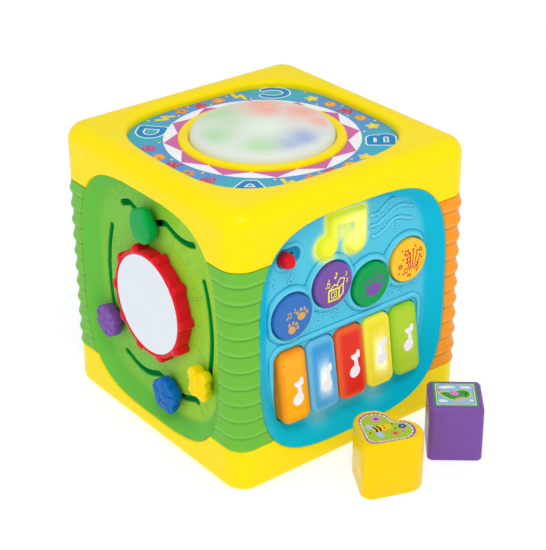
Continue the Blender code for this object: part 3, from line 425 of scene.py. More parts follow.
def path_distance(u, v, path, closed=False):
    """The distance from each point to a chain of straight pieces."""
    ends = list(zip(path, path[1:] + path[:1] if closed else path[1:]))
    best = np.full(np.shape(u), 1e9)
    for (ax, ay), (bx, by) in ends:
        dx, dy = bx - ax, by - ay
        length = dx * dx + dy * dy
        share = np.clip(((u - ax) * dx + (v - ay) * dy) / max(length, 1e-9), 0.0, 1.0)
        best = np.minimum(best, np.hypot(u - ax - share * dx, v - ay - share * dy))
    return best


def round_top(x):
    """A half circle over -1 to 1, as a height from 0 to 1."""
    return np.sqrt(np.clip(1.0 - x ** 2, 0.0, 1.0))


def bead(u, v, path, width, height, closed=False):
    """A round-topped raised line."""
    return height * round_top(path_distance(u, v, path, closed) / (width / 2))


def beads(u, v, paths, width, height, closed=False):
    return sum(bead(u, v, path, width, height, closed) for path in paths)


def box_field(u, v, centre, size, corner):
    """How far inside a rounded rectangle each point is; negative outside."""
    du = np.abs(u - centre[0]) - size[0] / 2 + corner
    dv = np.abs(v - centre[1]) - size[1] / 2 + corner
    return corner - np.hypot(np.maximum(du, 0), np.maximum(dv, 0)) - np.minimum(np.maximum(du, dv), 0)


def superellipse_level(u, v, a, b, middle):
    """1 on a superellipse, less inside it and more outside it."""
    return (np.abs(u / a) ** OPENING_POWER + np.abs((v - middle) / b) ** OPENING_POWER) ** (1.0 / OPENING_POWER)


def opening_field(side, u, v):
    """How far inside a side's opening each point is, along its ray from the centre."""
    level = superellipse_level(u, v, OPENING_HALF_WIDTH[side], OPENING_HALF_HEIGHT, OPENING_MIDDLE)
    return np.hypot(u, v - OPENING_MIDDLE) * (1.0 / np.maximum(level, 0.05) - 1.0)


def smooth_step(x):
    x = np.clip(x, 0.0, 1.0)
    return x * x * (3.0 - 2.0 * x)


def rounding(distance, radius):
    """How far a rounded edge has dropped at a distance inside the edge."""
    gap = np.clip(radius - distance, 0.0, radius)
    return radius - np.sqrt(radius ** 2 - gap ** 2)


def dish_share(side, u, v):
    """0 at the rim of a dished panel and 1 on its floor."""
    half_height = (FLOOR_TOP - FLOOR_BOTTOM[side]) / 2
    middle = (FLOOR_TOP + FLOOR_BOTTOM[side]) / 2
    outer = superellipse_level(u, v, OPENING_HALF_WIDTH[side], OPENING_HALF_HEIGHT, OPENING_MIDDLE)
    inner = superellipse_level(u, v, FLOOR_HALF_WIDTH, half_height, middle)
    to_rim, to_floor = np.maximum(1.0 - outer, 0.0), np.maximum(inner - 1.0, 0.0)
    return to_rim / np.maximum(to_rim + to_floor, 1e-6)


def dish_out(share):
    return -(RIM_DEPTH + (FLOOR_DEPTH - RIM_DEPTH) * np.sin(np.pi / 2 * share))


def on_floor(side, raised, u, v):
    """The height of a dished panel with its relief, which fades out towards the rim."""
    share = dish_share(side, u, v)
    return dish_out(share) + raised * smooth_step((share - 0.8) / 0.2)


# ------------------------------------------------------------------ prints

class Print:
    """Flat printed shapes in several inks. Shapes of one ink and layer join into one thin slab."""

    def __init__(self, name, base=0.0, layer=0.06, lie=None, step=0.3):
        self.name, self.base, self.layer, self.step = name, base, layer, step
        self.lie = lie or (lambda u, v: 0.0 * u)
        self.surface, self.inks, self.groups = Surface(), [], {}

    def area(self, field, low, high, ink, level=1):
        """Adds the place where a field is positive, inside a box."""
        self.groups.setdefault((level, ink), []).append((field, low, high))

    def fill(self, outline, ink, level=1):
        pts = np.array(outline, float)
        self.area(lambda u, v: polygon_field(u, v, pts), pts.min(0), pts.max(0), ink, level)

    def disc(self, centre, radius, ink, level=1, stretch=1.0, degrees=0.0):
        c, s = math.cos(math.radians(degrees)), math.sin(math.radians(degrees))

        def field(u, v):
            x, y = (u - centre[0]) * c + (v - centre[1]) * s, (v - centre[1]) * c - (u - centre[0]) * s
            return radius - np.hypot(x, y / stretch)

        reach = radius * max(1.0, stretch)
        self.area(field, np.array(centre) - reach, np.array(centre) + reach, ink, level)

    def line(self, path, width, ink, level=1, closed=False):
        pts = np.array(path, float)
        self.area(lambda u, v: width / 2 - path_distance(u, v, path, closed), pts.min(0) - width / 2,
                  pts.max(0) + width / 2, ink, level)

    def star(self, centre, radius, ink, level=1, degrees=0.0):
        self.fill(turned_path(star_path(), centre, radius, degrees), ink, level)

    def flower(self, centre, radius, petal, heart, level=1):
        """Five round petals about a heart."""
        for i in range(5):
            self.disc(spoke(radius * 0.6, 2 * math.pi * i / 5 + 0.3, centre), radius * 0.42, petal, level)
        self.disc(centre, radius * 0.34, heart, level + 1)

    def note(self, centre, size, ink, degrees=0.0, pair=False):
        """A quaver, or two quavers joined by a beam."""
        heads = ((-0.45, -0.9), (0.75, -0.7)) if pair else ((-0.2, -0.9),)
        tops = [(x + 0.34, y + 1.6) for x, y in heads]
        for (x, y), top in zip(heads, tops):
            self.disc(turned_path([(x, y)], centre, size, degrees)[0], 0.42 * size, ink, 1, 0.78, degrees + 20)
            self.line(turned_path([(x + 0.34, y), top], centre, size, degrees), 0.22 * size, ink)
        x, y = heads[0]
        tail = tops if pair else tops + [(x + 0.62, y + 1.1), (x + 0.80, y + 0.75)]
        self.line(turned_path(tail, centre, size, degrees), (0.36 if pair else 0.26) * size, ink)

    def letter(self, letter, centre, degrees):
        for stroke in LETTERS[letter]:
            path = turned_path(stroke, centre, 1.12, degrees)
            self.line(path, 7.6, "white", 3)
            self.line(path, 5.4, "deep_blue", 4)

    def lay(self, flat, faces, ink, level):
        """Adds flat faces as a thin slab whose top is at a layer."""
        if ink not in self.inks:
            self.inks.append(ink)
        flat = np.asarray(flat, float)
        thickness = self.layer * level
        height = self.lie(flat[:, 0], flat[:, 1]) + self.base + thickness
        self.surface.add(*thicken(flat, height, faces, thickness), self.inks.index(ink))

    def make(self, where, body, slot=None):
        for (level, ink), shapes in self.groups.items():
            low = np.min([s[1] for s in shapes], axis=0) - 2 * self.step
            high = np.max([s[2] for s in shapes], axis=0) + 2 * self.step
            u, v = np.meshgrid(np.arange(low[0], high[0], self.step), np.arange(low[1], high[1], self.step))
            total = np.full(u.shape, -1.0)
            for field, near, far in shapes:
                first = np.maximum(((near - low) / self.step - 1).astype(int), 0)
                last = ((far - low) / self.step + 3).astype(int)
                spot = np.s_[first[1]:last[1], first[0]:last[0]]
                total[spot] = np.maximum(total[spot], field(u[spot], v[spot]))
            points, faces = clip_cells(np.stack([u, v], axis=-1), total)
            if faces:
                self.lay(points, faces, ink, level)
        make_piece(self.name, self.surface, where, [INK[i] for i in self.inks], body, sharp=30.0)


LETTERS = {
    "A": [[(-11.5, -9.5), (-2.8, 7.0), (2.8, 7.0), (11.5, -9.5)], [(-6.5, -3.4), (6.5, -3.4)]],
    "B": [[(-7.5, -8.0), (-7.5, 8.0), (1.6, 8.0)] + arc_path((1.8, 4.4), 3.6, 90, -90) + [(-7.5, 0.8)],
          [(-7.5, 0.8), (2.8, 0.8)] + arc_path((3.2, -3.6), 4.4, 90, -90) + [(-7.5, -8.0)]],
    "C": [[(1.25 * x, y) for x, y in arc_path((0, 0), 8.4, 44, 316, 24)]],
    "D": [[(-8.0, -8.2), (-8.0, 8.2), (-2.0, 8.2)]
          + [(-1.0 + 1.15 * x, y) for x, y in arc_path((0, 0), 8.2, 90, -90, 16)] + [(-8.0, -8.2)]],
}


def polygon_field(u, v, pts):
    """The distance to a polygon's edge, positive inside it."""
    inside = np.zeros(np.shape(u), bool)
    for (ax, ay), (bx, by) in zip(pts, np.roll(pts, -1, axis=0)):
        if ay != by:
            inside ^= ((ay > v) != (by > v)) & (u < (bx - ax) * (v - ay) / (by - ay) + ax)
    distance = path_distance(u, v, [tuple(p) for p in pts], True)
    return np.where(inside, distance, -distance)


# ------------------------------------------------------------------ shell: caps and posts

FLAT_COLUMNS = 189
CORNER_COLUMNS = 22


def perimeter():
    """Columns round the cube: (base x, base y, normal x, normal y, place along the side, side number)."""
    columns = []
    for number, side in enumerate(SIDES):
        origin, right, _, out = PLANES[side]
        for u in np.linspace(-FLAT, FLAT, FLAT_COLUMNS + 1)[:-1]:
            base = origin + right * u
            columns.append((base[0], base[1], out[0], out[1], u, number))
        centre = origin + right * FLAT - out * CORNER
        for i in range(CORNER_COLUMNS):
            angle = math.pi / 2 * i / CORNER_COLUMNS
            normal = out * math.cos(angle) + right * math.sin(angle)
            base = centre + normal * CORNER
            columns.append((base[0], base[1], normal[0], normal[1], FLAT + CORNER * angle, number))
    return np.array(columns + columns[:1])


COLUMNS = perimeter()


def shell_rows(rows):
    """A grid of points (place, normal, place along the side, side number) round the cube.

    Each row is (inset, z, upward share of the normal)."""
    grid = np.zeros((len(rows), len(COLUMNS), 8))
    for line, (inset, z, lift) in zip(grid, rows):
        line[:, 0:2] = COLUMNS[:, 0:2] - COLUMNS[:, 2:4] * inset
        line[:, 2] = z
        line[:, 3:5] = COLUMNS[:, 2:4] * math.sqrt(1.0 - lift ** 2)
        line[:, 5] = lift
        line[:, 6:8] = COLUMNS[:, 4:6]
    return grid


def opening_distance(u, z, number):
    """How far outside the opening of its own side each point of the shell is."""
    best = np.full(np.shape(u), 1e9)
    for k, side in enumerate(SIDES):
        here = np.where((number == k) & (u <= FLAT + 1.0), -opening_field(side, u, z), 1e9)
        best = np.minimum(best, here)
    return best


def merge_points(points, faces):
    """Joins points that lie together, so that a seam of a closed grid leaves no open edge."""
    keys = np.round(points[:, :3] / 1e-4).astype(np.int64)
    _, first, index = np.unique(keys, axis=0, return_index=True, return_inverse=True)
    index = index.reshape(-1)
    joined = []
    for face in faces:
        ring = [int(index[i]) for i in face]
        ring = [a for a, b in zip(ring, ring[1:] + ring[:1]) if a != b]
        if len(ring) > 2:
            joined.append(tuple(ring))
    return points[first], joined


def shell_piece(name, grid, low, high, material, node, lift=None, light_and_shade=None, more=None):
    """A part of the shell between two heights, with rounded edges that turn inward."""

    def edge_distance(points):
        away = opening_distance(points[..., 6], points[..., 2], np.round(points[..., 7]))
        if low is not None:
            away = np.minimum(away, points[..., 2] - low)
        if high is not None:
            away = np.minimum(away, high - points[..., 2])
        return away

    points, faces = merge_points(*clip_cells(grid, edge_distance(grid)))
    normal = points[:, 3:6]
    move = (lift(points) if lift else 0.0) - rounding(edge_distance(points), 1.1)
    # Painted shade and highlight of each point, if a function for them is given
    values = light_and_shade(points) if light_and_shade else np.zeros(len(points))
    joined = np.column_stack([points[:, :3] + normal * move[:, None], normal, values])
    joined, wall = skirt(joined, faces, lambda p: np.column_stack([-p[:, 3:6] * SHELL_WALL, 0 * p[:, 3:7]]))
    surface = Surface().add(joined[:, :3], faces + wall)
    if more:
        more(surface)
    values = np.zeros(len(surface.points))
    values[:len(joined)] = joined[:, 6]
    make_piece(name, surface, None, [material], "main", node, masks={"light_and_shade": values})


def recess_point(angle, grow):
    """Points of the drum recess's edge, moved outward along their rays."""
    reach = superellipse_reach(*RECESS, RECESS_POWER)(angle) + grow
    return np.column_stack([reach * np.cos(angle), reach * np.sin(angle)])


RECESS_FILLET = 4.2
TOP_SAG = 0.7


def make_top_cap():
    """The yellow frame above: its sides, its rounded edge, its sagging top and the recess for the drum."""
    rows = [(0.0, z, 0.0) for z in np.linspace(196.0, HEIGHT - TOP_ROUND, 38)]
    rows += [(TOP_ROUND * (1 - math.cos(a)), HEIGHT - TOP_ROUND + TOP_ROUND * math.sin(a), math.sin(a))
             for a in quarter(14)[1:]]
    grid = shell_rows(rows)
    outer = grid[-1, :, :2]
    angle = np.arctan2(outer[:, 1], outer[:, 0])
    land = recess_point(angle, RECESS_FILLET)
    levels = [(outer * (1 - share) + land * share, HEIGHT - TOP_SAG * share ** 2)
              for share in np.linspace(0.0, 1.0, 12)[1:]]
    levels += [(recess_point(angle, RECESS_FILLET * (1 - math.sin(a))),
                HEIGHT - TOP_SAG - RECESS_FILLET * (1 - math.cos(a))) for a in quarter(7)[1:]]
    levels.append((recess_point(angle, 0.0), LABEL_TOP - 0.6))
    inner = np.zeros((len(levels), len(COLUMNS), 8))
    for line, (place, z) in zip(inner, levels):
        line[:, 0:2], line[:, 2], line[:, 5] = place, z, 1.0
        line[:, 6:8] = COLUMNS[:, 4:6]
    shell_piece("top_cap_shell", np.concatenate([grid, inner]), CAP_JOINTS[1] + JOINT_GAP, None, YELLOW, "top_cap")


def make_bottom_cap():
    """The yellow frame below, with its flat underside."""
    rows = [(BOTTOM_ROUND * (1 - math.sin(a)), BOTTOM_ROUND - BOTTOM_ROUND * math.cos(a), -math.cos(a))
            for a in quarter(10)]
    rows += [(0.0, z, 0.0) for z in np.linspace(BOTTOM_ROUND, 40.5, 34)[1:]]

    def underside(surface):
        axis = np.linspace(-113, 113, 160)
        points, faces = cut_sheet(axis, axis, underside_field)
        depth = rounding(underside_field(points[:, 0], points[:, 1], False), 0.8)
        solid, faces = thicken(points, -depth, faces, 2.6)
        surface.add(on_plane(PLANES["under"], solid), faces)

    shell_piece("bottom_cap_shell", shell_rows(rows), None, CAP_JOINTS[0] - JOINT_GAP, YELLOW, "bottom_cap",
                more=underside)


def underside_field(u, v, outer=True):
    """The flat underside with its battery opening and the four screw wells."""
    door_low, door_high = (np.array(corner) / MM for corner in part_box("battery_door"))
    size = door_high - door_low + 0.8
    field = -box_field(u, v, node_centre("battery_door", PLANES["under"]), size, 0.6)
    for i in range(1, 5):
        centre = node_centre(f"case_screw_{i}", PLANES["under"])
        field = np.minimum(field, np.hypot(u - centre[0], v - centre[1]) - 4.4)
    if outer:
        width = 2 * (HALF - BOTTOM_ROUND) + 0.1
        field = np.minimum(field, box_field(u, v, (0, 0), (width, width), CORNER - BOTTOM_ROUND))
    return field


RIB_PITCH = 14.8
RIB_CREST = 0.76


def rib_phase(points):
    return ((CAP_JOINTS[1] + 2.2 - points[:, 2]) / RIB_PITCH) % 1.0


def rib_fade(points):
    """How much the ribs swell, and whether there are any, by the distance from the post's middle."""
    u = points[:, 6]
    away = np.where(u > 0, np.abs(u - FLAT - CORNER * math.pi / 4), np.abs(u + FLAT) + CORNER * math.pi / 4)
    return 0.22 + 0.78 * smooth_step((20.0 - away) / 20.0), smooth_step((46.0 - away) / 16.0)


def rib_height(points):
    """Scale-like ribs across a post: each swells from above and ends in a rounded lip."""
    swell, fade = rib_fade(points)
    phase = rib_phase(points)
    lip = np.where(phase < RIB_CREST, (phase / RIB_CREST) ** 2.2, round_top((phase - RIB_CREST) / (1.0 - RIB_CREST)))
    return (2.2 * swell * lip - 0.3) * fade


def rib_shading(points):
    """Painted light on the ribs: 0.5 on plain plastic, painted shade in the groove below each lip and a painted
    highlight on the lip.
    """
    _, fade = rib_fade(points)
    phase = rib_phase(points)
    groove = np.exp(-((phase - 0.985) / 0.035) ** 2) + np.exp(-((phase + 0.015) / 0.03) ** 2)
    crest = np.exp(-((phase - 0.80) / 0.06) ** 2)
    return 0.5 + fade * (0.34 * crest - 0.5 * groove)


def make_posts():
    grid = shell_rows([(0.0, z, 0.0) for z in np.linspace(39.0, 198.0, 240)])
    # The posts' ribs take painted shade in their grooves and a painted highlight on their lips.
    leaf = rib_shaded_plastic("leaf_post", (112, 190, 62), 0.36)
    orange = rib_shaded_plastic("orange_post", (249, 156, 34), 0.36)
    posts = (("front_right", orange, "orange_plastic"), ("back_right", orange, "orange_plastic"),
             ("back_left", leaf, "leaf_green_plastic"), ("front_left", leaf, "leaf_green_plastic"))
    for number, (place, material, slot) in enumerate(posts):
        middle = number * (FLAT_COLUMNS + CORNER_COLUMNS) + FLAT_COLUMNS + CORNER_COLUMNS // 2
        picked = [(middle + k) % (len(COLUMNS) - 1) for k in range(-60, 61)]
        name = "post_" + place
        shell_piece(name + "_skin", grid[:, picked], CAP_JOINTS[0] + JOINT_GAP, CAP_JOINTS[1] - JOINT_GAP,
                    material, name, lift=rib_height, light_and_shade=rib_shading)


# ------------------------------------------------------------------ dished panels

def make_panel(side, height, holes, materials, node, step, masks=None, wall=2.4, wall_paint=0):
    """A dished panel: a fine grid inside its opening, cut by its holes and lifted by a height function."""
    half = OPENING_HALF_WIDTH[side]
    low, high = OPENING_MIDDLE - OPENING_HALF_HEIGHT, OPENING_MIDDLE + OPENING_HALF_HEIGHT
    points, faces = cut_sheet(np.arange(-half, half + step, step), np.arange(low, high + step, step),
                              lambda u, v: np.minimum(opening_field(side, u, v) - 0.3, holes(u, v)))
    u, v = points[:, 0], points[:, 1]
    solid, every = thicken(points, height(u, v) - rounding(np.maximum(holes(u, v), 0.0), 0.7), faces, wall)
    surface = Surface().add(solid, faces)
    surface.faces += every[len(faces):]
    surface.paints += [wall_paint] * (len(every) - len(faces))
    u, v = solid[:, 0], solid[:, 1]
    # Painted shade on the dish's sloping rim, and painted shade in hollows with a painted highlight on raised lips
    # from the crease mask, which follows the height's curvature.
    values = {key: f(u, v) for key, f in {"light_and_shade": rim_shade(side), **(masks or {})}.items()}
    near = 0.9
    bend = sum(height(u + du, v + dv) for du, dv in ((near, 0), (-near, 0), (0, near), (0, -near))) - 4 * height(u, v)
    values["crease_shading"] = np.clip(0.5 - bend / near ** 2 * 0.42, 0.0, 1.0)
    make_piece(node + "_skin", surface, PLANES[side], materials, "main", node, masks=values)


def no_holes(u, v):
    return np.full(np.shape(u), 1e3)


# piano side
BUTTON_PLACES = {"blue": (-59.3, 140.6), "purple": (-18.9, 155.2), "green": (21.2, 142.1), "amber": (61.1, 150.8)}
BUTTON_RADIUS = 19.0
BUTTON_FACE = -6.42
COLLAR_RADIUS = 24.5
KEY_PITCH = 29.6
KEY_WIDTH = 28.6
KEY_BOTTOM, KEY_TOP = 47.5, 110.5
KEY_HEAD = KEY_TOP - 1.6
KEY_CORNER = 7.6
KEY_BORDER = ((0.5, 77.0), (159.0, 76.0), 12.0)
SWITCH_PIT = (-59.7, 191.0)
PIT_SIZE = (22.8, 14.8)
PIT_CORNER = 7.0
NOTE_HEAD = 9.6
NOTE_HEADS = ((-23.2, 187.8), (6.2, 183.8))
NOTE_STEM = 7.6
NOTE_TOPS = (215.0, 213.0)
NOTE_BEAM = 11.0


def note_field(u, v):
    """How far inside the two joined quavers each point is."""
    field = np.full(np.shape(u), -1e3)
    beam = []
    for (x, y), top, lean in zip(NOTE_HEADS, NOTE_TOPS, (1.0, -1.0)):
        stem = x + NOTE_HEAD - NOTE_STEM / 2
        beam.append((stem + lean, top - NOTE_BEAM / 2))
        field = np.maximum(field, NOTE_HEAD - np.hypot(u - x, (v - y) * 1.05))
        field = np.maximum(field, NOTE_STEM / 2 + 0.6 - path_distance(u, v, [(stem, y), (stem, top - 4)]))
    return np.maximum(field, NOTE_BEAM / 2 - path_distance(u, v, beam))


def key_box(number, width, margin=0.0):
    """The centre, size and corner of one key's outline, for box_field."""
    return (((number - 2) * KEY_PITCH, (KEY_BOTTOM + KEY_HEAD) / 2), (width, KEY_HEAD - KEY_BOTTOM + 2 * margin),
            KEY_CORNER)


def button_distance(u, v):
    return np.minimum.reduce([np.hypot(u - x, v - y) for x, y in BUTTON_PLACES.values()])


def piano_holes(u, v):
    keys = [-box_field(u, v, *key_box(number, KEY_PITCH + 0.2, 0.6)) for number in range(5)]
    return np.minimum.reduce(keys + [button_distance(u, v) - BUTTON_RADIUS - 0.5, 1.0 - note_field(u, v),
                                     -box_field(u, v, SWITCH_PIT, PIT_SIZE, PIT_CORNER)])


def staff_waves():
    """Three wavy staff lines to the right of the note."""
    steps = np.arange(27) / 26
    for rise, start, end in ((0.0, 25.0, 66.0), (9.5, 23.0, 70.0), (19.0, 23.0, 62.0)):
        climb = 184.0 + rise + 0.12 * (end - start) * steps
        yield list(zip(start + (end - start) * steps, climb + 3.4 * np.sin(2 * np.pi * (steps * 1.05 + 0.62))))


NOTE_ICON = arc_path((0.0, 0.0), 1.0, 20, 320, 12) + [(0.95, 0.2), (0.95, 3.2), (2.3, 2.4), (2.3, 3.6), (0.5, 4.3),
                                                      (0.5, 0.9)]
PIANO_ICONS = [
    (star_path(), (-75.0, 172.0), 4.2, 10), (NOTE_ICON, (-58.0, 169.5), 2.0, -8),
    (NOTE_ICON, (-30.0, 124.5), 2.0, -8), (star_path(), (-12.0, 125.0), 4.0, 15),
    (star_path(), (48.0, 123.0), 3.2, 0), (NOTE_ICON, (58.0, 120.5), 1.5, 0),
    (star_path(), (72.0, 124.0), 3.0, 20), (star_path(), (33.0, 200.0), 4.2, 15),
    (NOTE_ICON, (43.0, 203.0), 1.5, -10), (NOTE_ICON, (62.0, 199.0), 1.6, 10),
    (star_path(), (38.0, 186.0), 2.6, 0), (NOTE_ICON, (50.0, 180.5), 1.6, 0),
]


def piano_height(u, v):
    """Collars round the buttons, a ridge round the keys and the switch, staff lines and small outlines."""
    cloud = np.full(np.shape(u), -1e3)
    for x, y in BUTTON_PLACES.values():
        cloud = np.logaddexp(cloud / 1.4, (COLLAR_RADIUS - np.hypot(u - x, v - y)) / 1.4) * 1.4
    raised = 3.6 * np.sqrt(smooth_step((cloud + 0.4) / 3.6))
    raised -= 0.9 * smooth_step((21.6 - button_distance(u, v)) / 1.8)
    border = box_field(u, v, *KEY_BORDER)
    ridge = 1.9 * round_top((border - 1.4) / 2.6) - 0.9 * smooth_step((border - 2.2) / 2.0)
    raised = np.maximum(raised, ridge * smooth_step((v - 42.0) / 6.0))
    raised += 0.9 * round_top((-box_field(u, v, SWITCH_PIT, PIT_SIZE, PIT_CORNER) - 1.6) / 1.8)
    raised += beads(u, v, staff_waves(), 3.0, 1.2)
    raised += beads(u, v, [turned_path(*icon) for icon in PIANO_ICONS], 1.5, 0.55, closed=True)
    raised += beads(u, v, [arc_path((27.0, 160.0), radius, 40, 130) for radius in range(9, 18, 2)], 0.6, 0.16)
    return on_floor("front", raised, u, v)


def piano_glow(u, v):
    """Light on the floor round the glowing note and between its stems."""
    around = np.exp(-(np.clip(-note_field(u, v), 0.0, 99.0) / 3.6) ** 2)
    between = np.exp(-((u + 3.5) / 9.5) ** 4 - ((v - 198.0) / 11.0) ** 4)
    return 0.9 * np.maximum(around, 0.9 * between)


def piano_spill(u, v):
    """Light that spills below the two lit keys."""
    spill = sum(np.exp(-((u - side * KEY_PITCH) / 9.0) ** 2 - ((v - 37.0) / 7.0) ** 2) for side in (-1, 1))
    return np.clip(0.55 * spill, 0.0, 1.0)


# Painted shade on the dish's sloping rim: 1 there, fading to 0 on the floor.
def rim_shade(side):
    return lambda u, v: 1.0 - smooth_step((dish_share(side, u, v) - 0.60) / 0.35)


def make_piano_panel():
    paint = Paint("cyan_panel")
    floor, rim, shade_colour, light = CYAN
    # Painted shade on the rim and in hollows, a painted highlight on raised lips.
    base = relief_shading(paint, paint.tint(linear(floor), ("light_and_shade", rim)), shade_colour, light)
    base = paint.tint(base, ("spill", (160, 230, 244)), ("glow", (228, 228, 70)))
    paint.colour(base).surface(0.30, 0.05, 0.08)
    paint.glow(base, paint.remap(paint.mask("glow"), 0.0, 1.0, 0.0, 0.30))
    make_panel("front", piano_height, piano_holes, [paint.material], "piano_panel", 0.7,
               {"glow": piano_glow, "spill": piano_spill}, wall=2.2)

    def cup_field(u, v):
        return box_field(u, v, SWITCH_PIT, (PIT_SIZE[0] + 1.0, PIT_SIZE[1] + 1.0), PIT_CORNER + 0.5)

    def slotted(u, v):
        slot = box_field(u, v, (SWITCH_PIT[0] - 0.2, SWITCH_PIT[1]), (13.6, 3.6), 1.7)
        return np.minimum(cup_field(u, v), -slot)

    points, faces = cut_sheet(np.arange(SWITCH_PIT[0] - 14, SWITCH_PIT[0] + 14, 0.5),
                              np.arange(SWITCH_PIT[1] - 11, SWITCH_PIT[1] + 11, 0.5), slotted)
    depth = -14.4 + 1.6 * (1 - smooth_step(cup_field(points[:, 0], points[:, 1]) / 3))
    make_piece("switch_pit_floor", Surface().add(*thicken(points, depth, faces, 1.2)), PLANES["front"],
               [plastic("switch_pit_cyan", CYAN[2], 0.32)], "main")


def pillow(outline, front, back, fillet, dome=0.0, steps=6, inner=8):
    """Rings for a piece with a rounded front edge. outline(inset) gives its outline at a distance inside."""
    rings = [at_level(outline(0.0), back)]
    for angle in quarter(steps):
        rings.append(at_level(outline(fillet * (1 - math.cos(angle))), front - fillet * (1 - math.sin(angle))))
    last = outline(fillet)
    middle = last.mean(axis=0)
    for k in range(1, inner):
        share = 1.0 - k / inner
        rings.append(at_level(middle + (last - middle) * share, front + dome * (1 - share ** 2)))
    return rings


def rounded_box_outline(centre, size, corner, count=9):
    """An outline function of a rounded rectangle that can be drawn at any inset."""
    def outline(inset):
        half_u, half_v = size[0] / 2 - inset, size[1] / 2 - inset
        radius = max(corner - inset, 0.6)
        points = []
        for su, sv, start in ((1, 1, 0), (-1, 1, 90), (-1, -1, 180), (1, -1, 270)):
            middle = (centre[0] + su * (half_u - radius), centre[1] + sv * (half_v - radius))
            points += arc_path(middle, radius, start, start + 90, count)
        return np.array(points)
    return outline


KEYS = (("key_orange", (252, 178, 30), (246, 142, 12), 0.0, "orange_plastic"),
        ("key_blue", (40, 150, 214), (110, 192, 228), 1.0, "blue_plastic"),
        ("key_red", (230, 40, 26), (242, 100, 44), 0.0, "red_plastic"),
        ("key_yellow", (242, 222, 20), (246, 236, 70), 1.0, "yellow_plastic"),
        ("key_lime", (182, 214, 44), (156, 206, 44), 0.0, "lime_plastic"))


def key_front(v):
    """How far out the face of a key is: a wedge that stands out further at its lower end."""
    share = (KEY_TOP - v) / (KEY_TOP - KEY_BOTTOM)
    return -9.3 + 9.4 * share ** 1.05


def key_note(art, x, z):
    """A plump quaver on a key."""
    art.disc((x, z), 5.6, "icon_white", 1, 0.86, 35)
    neck = [(0.2, 3.0), (4.4, 2.4), (3.8, 10.6), (6.2, 11.4), (6.6, 15.6), (5.4, 17.8), (4.0, 17.6), (2.0, 14.8),
            (-2.4, 14.6), (-3.2, 13.2), (-1.4, 10.6), (0.0, 9.8)]
    art.fill(turned_path(neck, (x, z)), "icon_white")


def key_paint(name, colour, edge):
    """Clear plastic with a fine moulded grid and a lamp behind it."""
    paint = Paint(name, coat=0.12)
    grid = paint.nodes.new("ShaderNodeTexVoronoi")
    grid.distance = "CHEBYCHEV"
    paint.put(grid, {"Scale": 620.0, "Randomness": 0.0, "Vector": paint.place})
    cell = paint.remap(grid.outputs["Distance"], 0.30, 0.50, 0.0, 0.16)
    base = paint.mix(cell, paint.tint(linear(colour), ("edge", edge)), [c * 0.72 for c in linear(edge)])
    lamp = paint.tint(base, ("lamp", (255, 255, 240)))
    paint.colour(lamp).surface(0.20, 0.04, 0.05)
    return paint.glow(lamp, paint.remap(paint.mask("lamp"), 0.0, 1.0, 0.05, 0.70)).skin(0.10, 0.004).material


def make_keys():
    where = PLANES["front"]
    for number, (name, colour, edge, lit, slot) in enumerate(KEYS):
        middle, size, corner = key_box(number, KEY_WIDTH - 0.2)
        outline = rounded_box_outline(middle, size, corner, 12)
        rings = pillow(outline, 0.0, -16.5, 3.0, 0.6, 10, 16)
        rings.insert(1, at_level(outline(0.0), -6.5))
        for ring in rings[1:]:
            ring[:, 2] += key_front(ring[:, 1])
        surface = Surface().add(*loft(rings, back=True))
        u, v = np.array(surface.points)[:, :2].T
        spot = np.hypot((u - middle[0] - 1.5) / 8.0, (v - 74.0) / 15.0)
        masks = {"edge": 1.0 - smooth_step(box_field(u, v, middle, size, corner) / 7.0),
                 "lamp": 0.9 * lit * np.exp(-spot ** 2 * 1.2)}
        body = "piano_" + name[4:]
        make_piece(name + "_cap", surface, where, [key_paint(name + "_plastic", colour, edge)], body, name,
                   masks=masks)
        icon = Print(name + "_note", base=0.50, layer=0.10, lie=lambda u, v: key_front(v), step=0.35)
        key_note(icon, middle[0] + 1.9, 67.2 + 1.4 * number)
        icon.make(where, body)


def paws(art, x, y):
    x, y = x + 1.6, y - 2.6
    for px, py, turn, size in ((4.8, 2.6, -12, 1.2), (-4.6, -6.8, -30, 1.15)):
        pad = (x + px, y + py)
        art.disc(pad, 3.3 * size, "sand", 1, 0.85, turn)
        for toe in turned_path([(-4.1, 2.6), (-1.6, 4.9), (1.6, 5.0), (4.1, 2.8)], pad, size, turn):
            art.disc(toe, 1.25, "sand", 1, 1.25, turn)
    art.note((x - 8.2, y + 6.6), 2.4, "sand", 0, True)
    art.note((x - 2.0, y + 9.8), 2.0, "sand", 10)
    art.note((x + 8.4, y - 7.6), 2.0, "sand", 20)


def music_box(art, x, y):
    x, y = x + 1.0, y - 2.4
    corner = (x - 1.0, y - 4.6)
    strokes = (([(-6.5, -5.0), (4.0, -5.0), (4.0, 4.5), (-6.5, 4.5)], 1.5, True),
               ([(-3.8, -2.6), (1.4, -2.6), (1.4, 2.4), (-3.8, 2.4)], 0.8, True),
               ([(4.0, -5.0), (8.2, -1.4), (8.2, 7.0), (4.0, 4.5)], 1.3, False),
               ([(-6.5, 4.5), (-1.0, 8.6), (2.8, 6.6)], 1.1, False),
               ([(8.2, 7.0), (9.6, 11.4), (5.0, 12.6), (1.6, 7.8)], 1.0, False))
    for stroke, width, closed in strokes:
        art.line(turned_path(stroke, corner), width, "lemon", 1, closed)
    art.note((corner[0] - 1.2, corner[1] - 0.4), 2.2, "lemon")
    for nx, ny, size in ((-9.0, 5.0, 2.0), (-8.0, 9.0, 1.8), (-0.6, 12.4, 2.8), (10.2, 10.6, 1.9), (11.0, 4.4, 2.0)):
        art.note((x + nx, y + ny), size, "lemon", 10 * nx / 9, nx < -8)


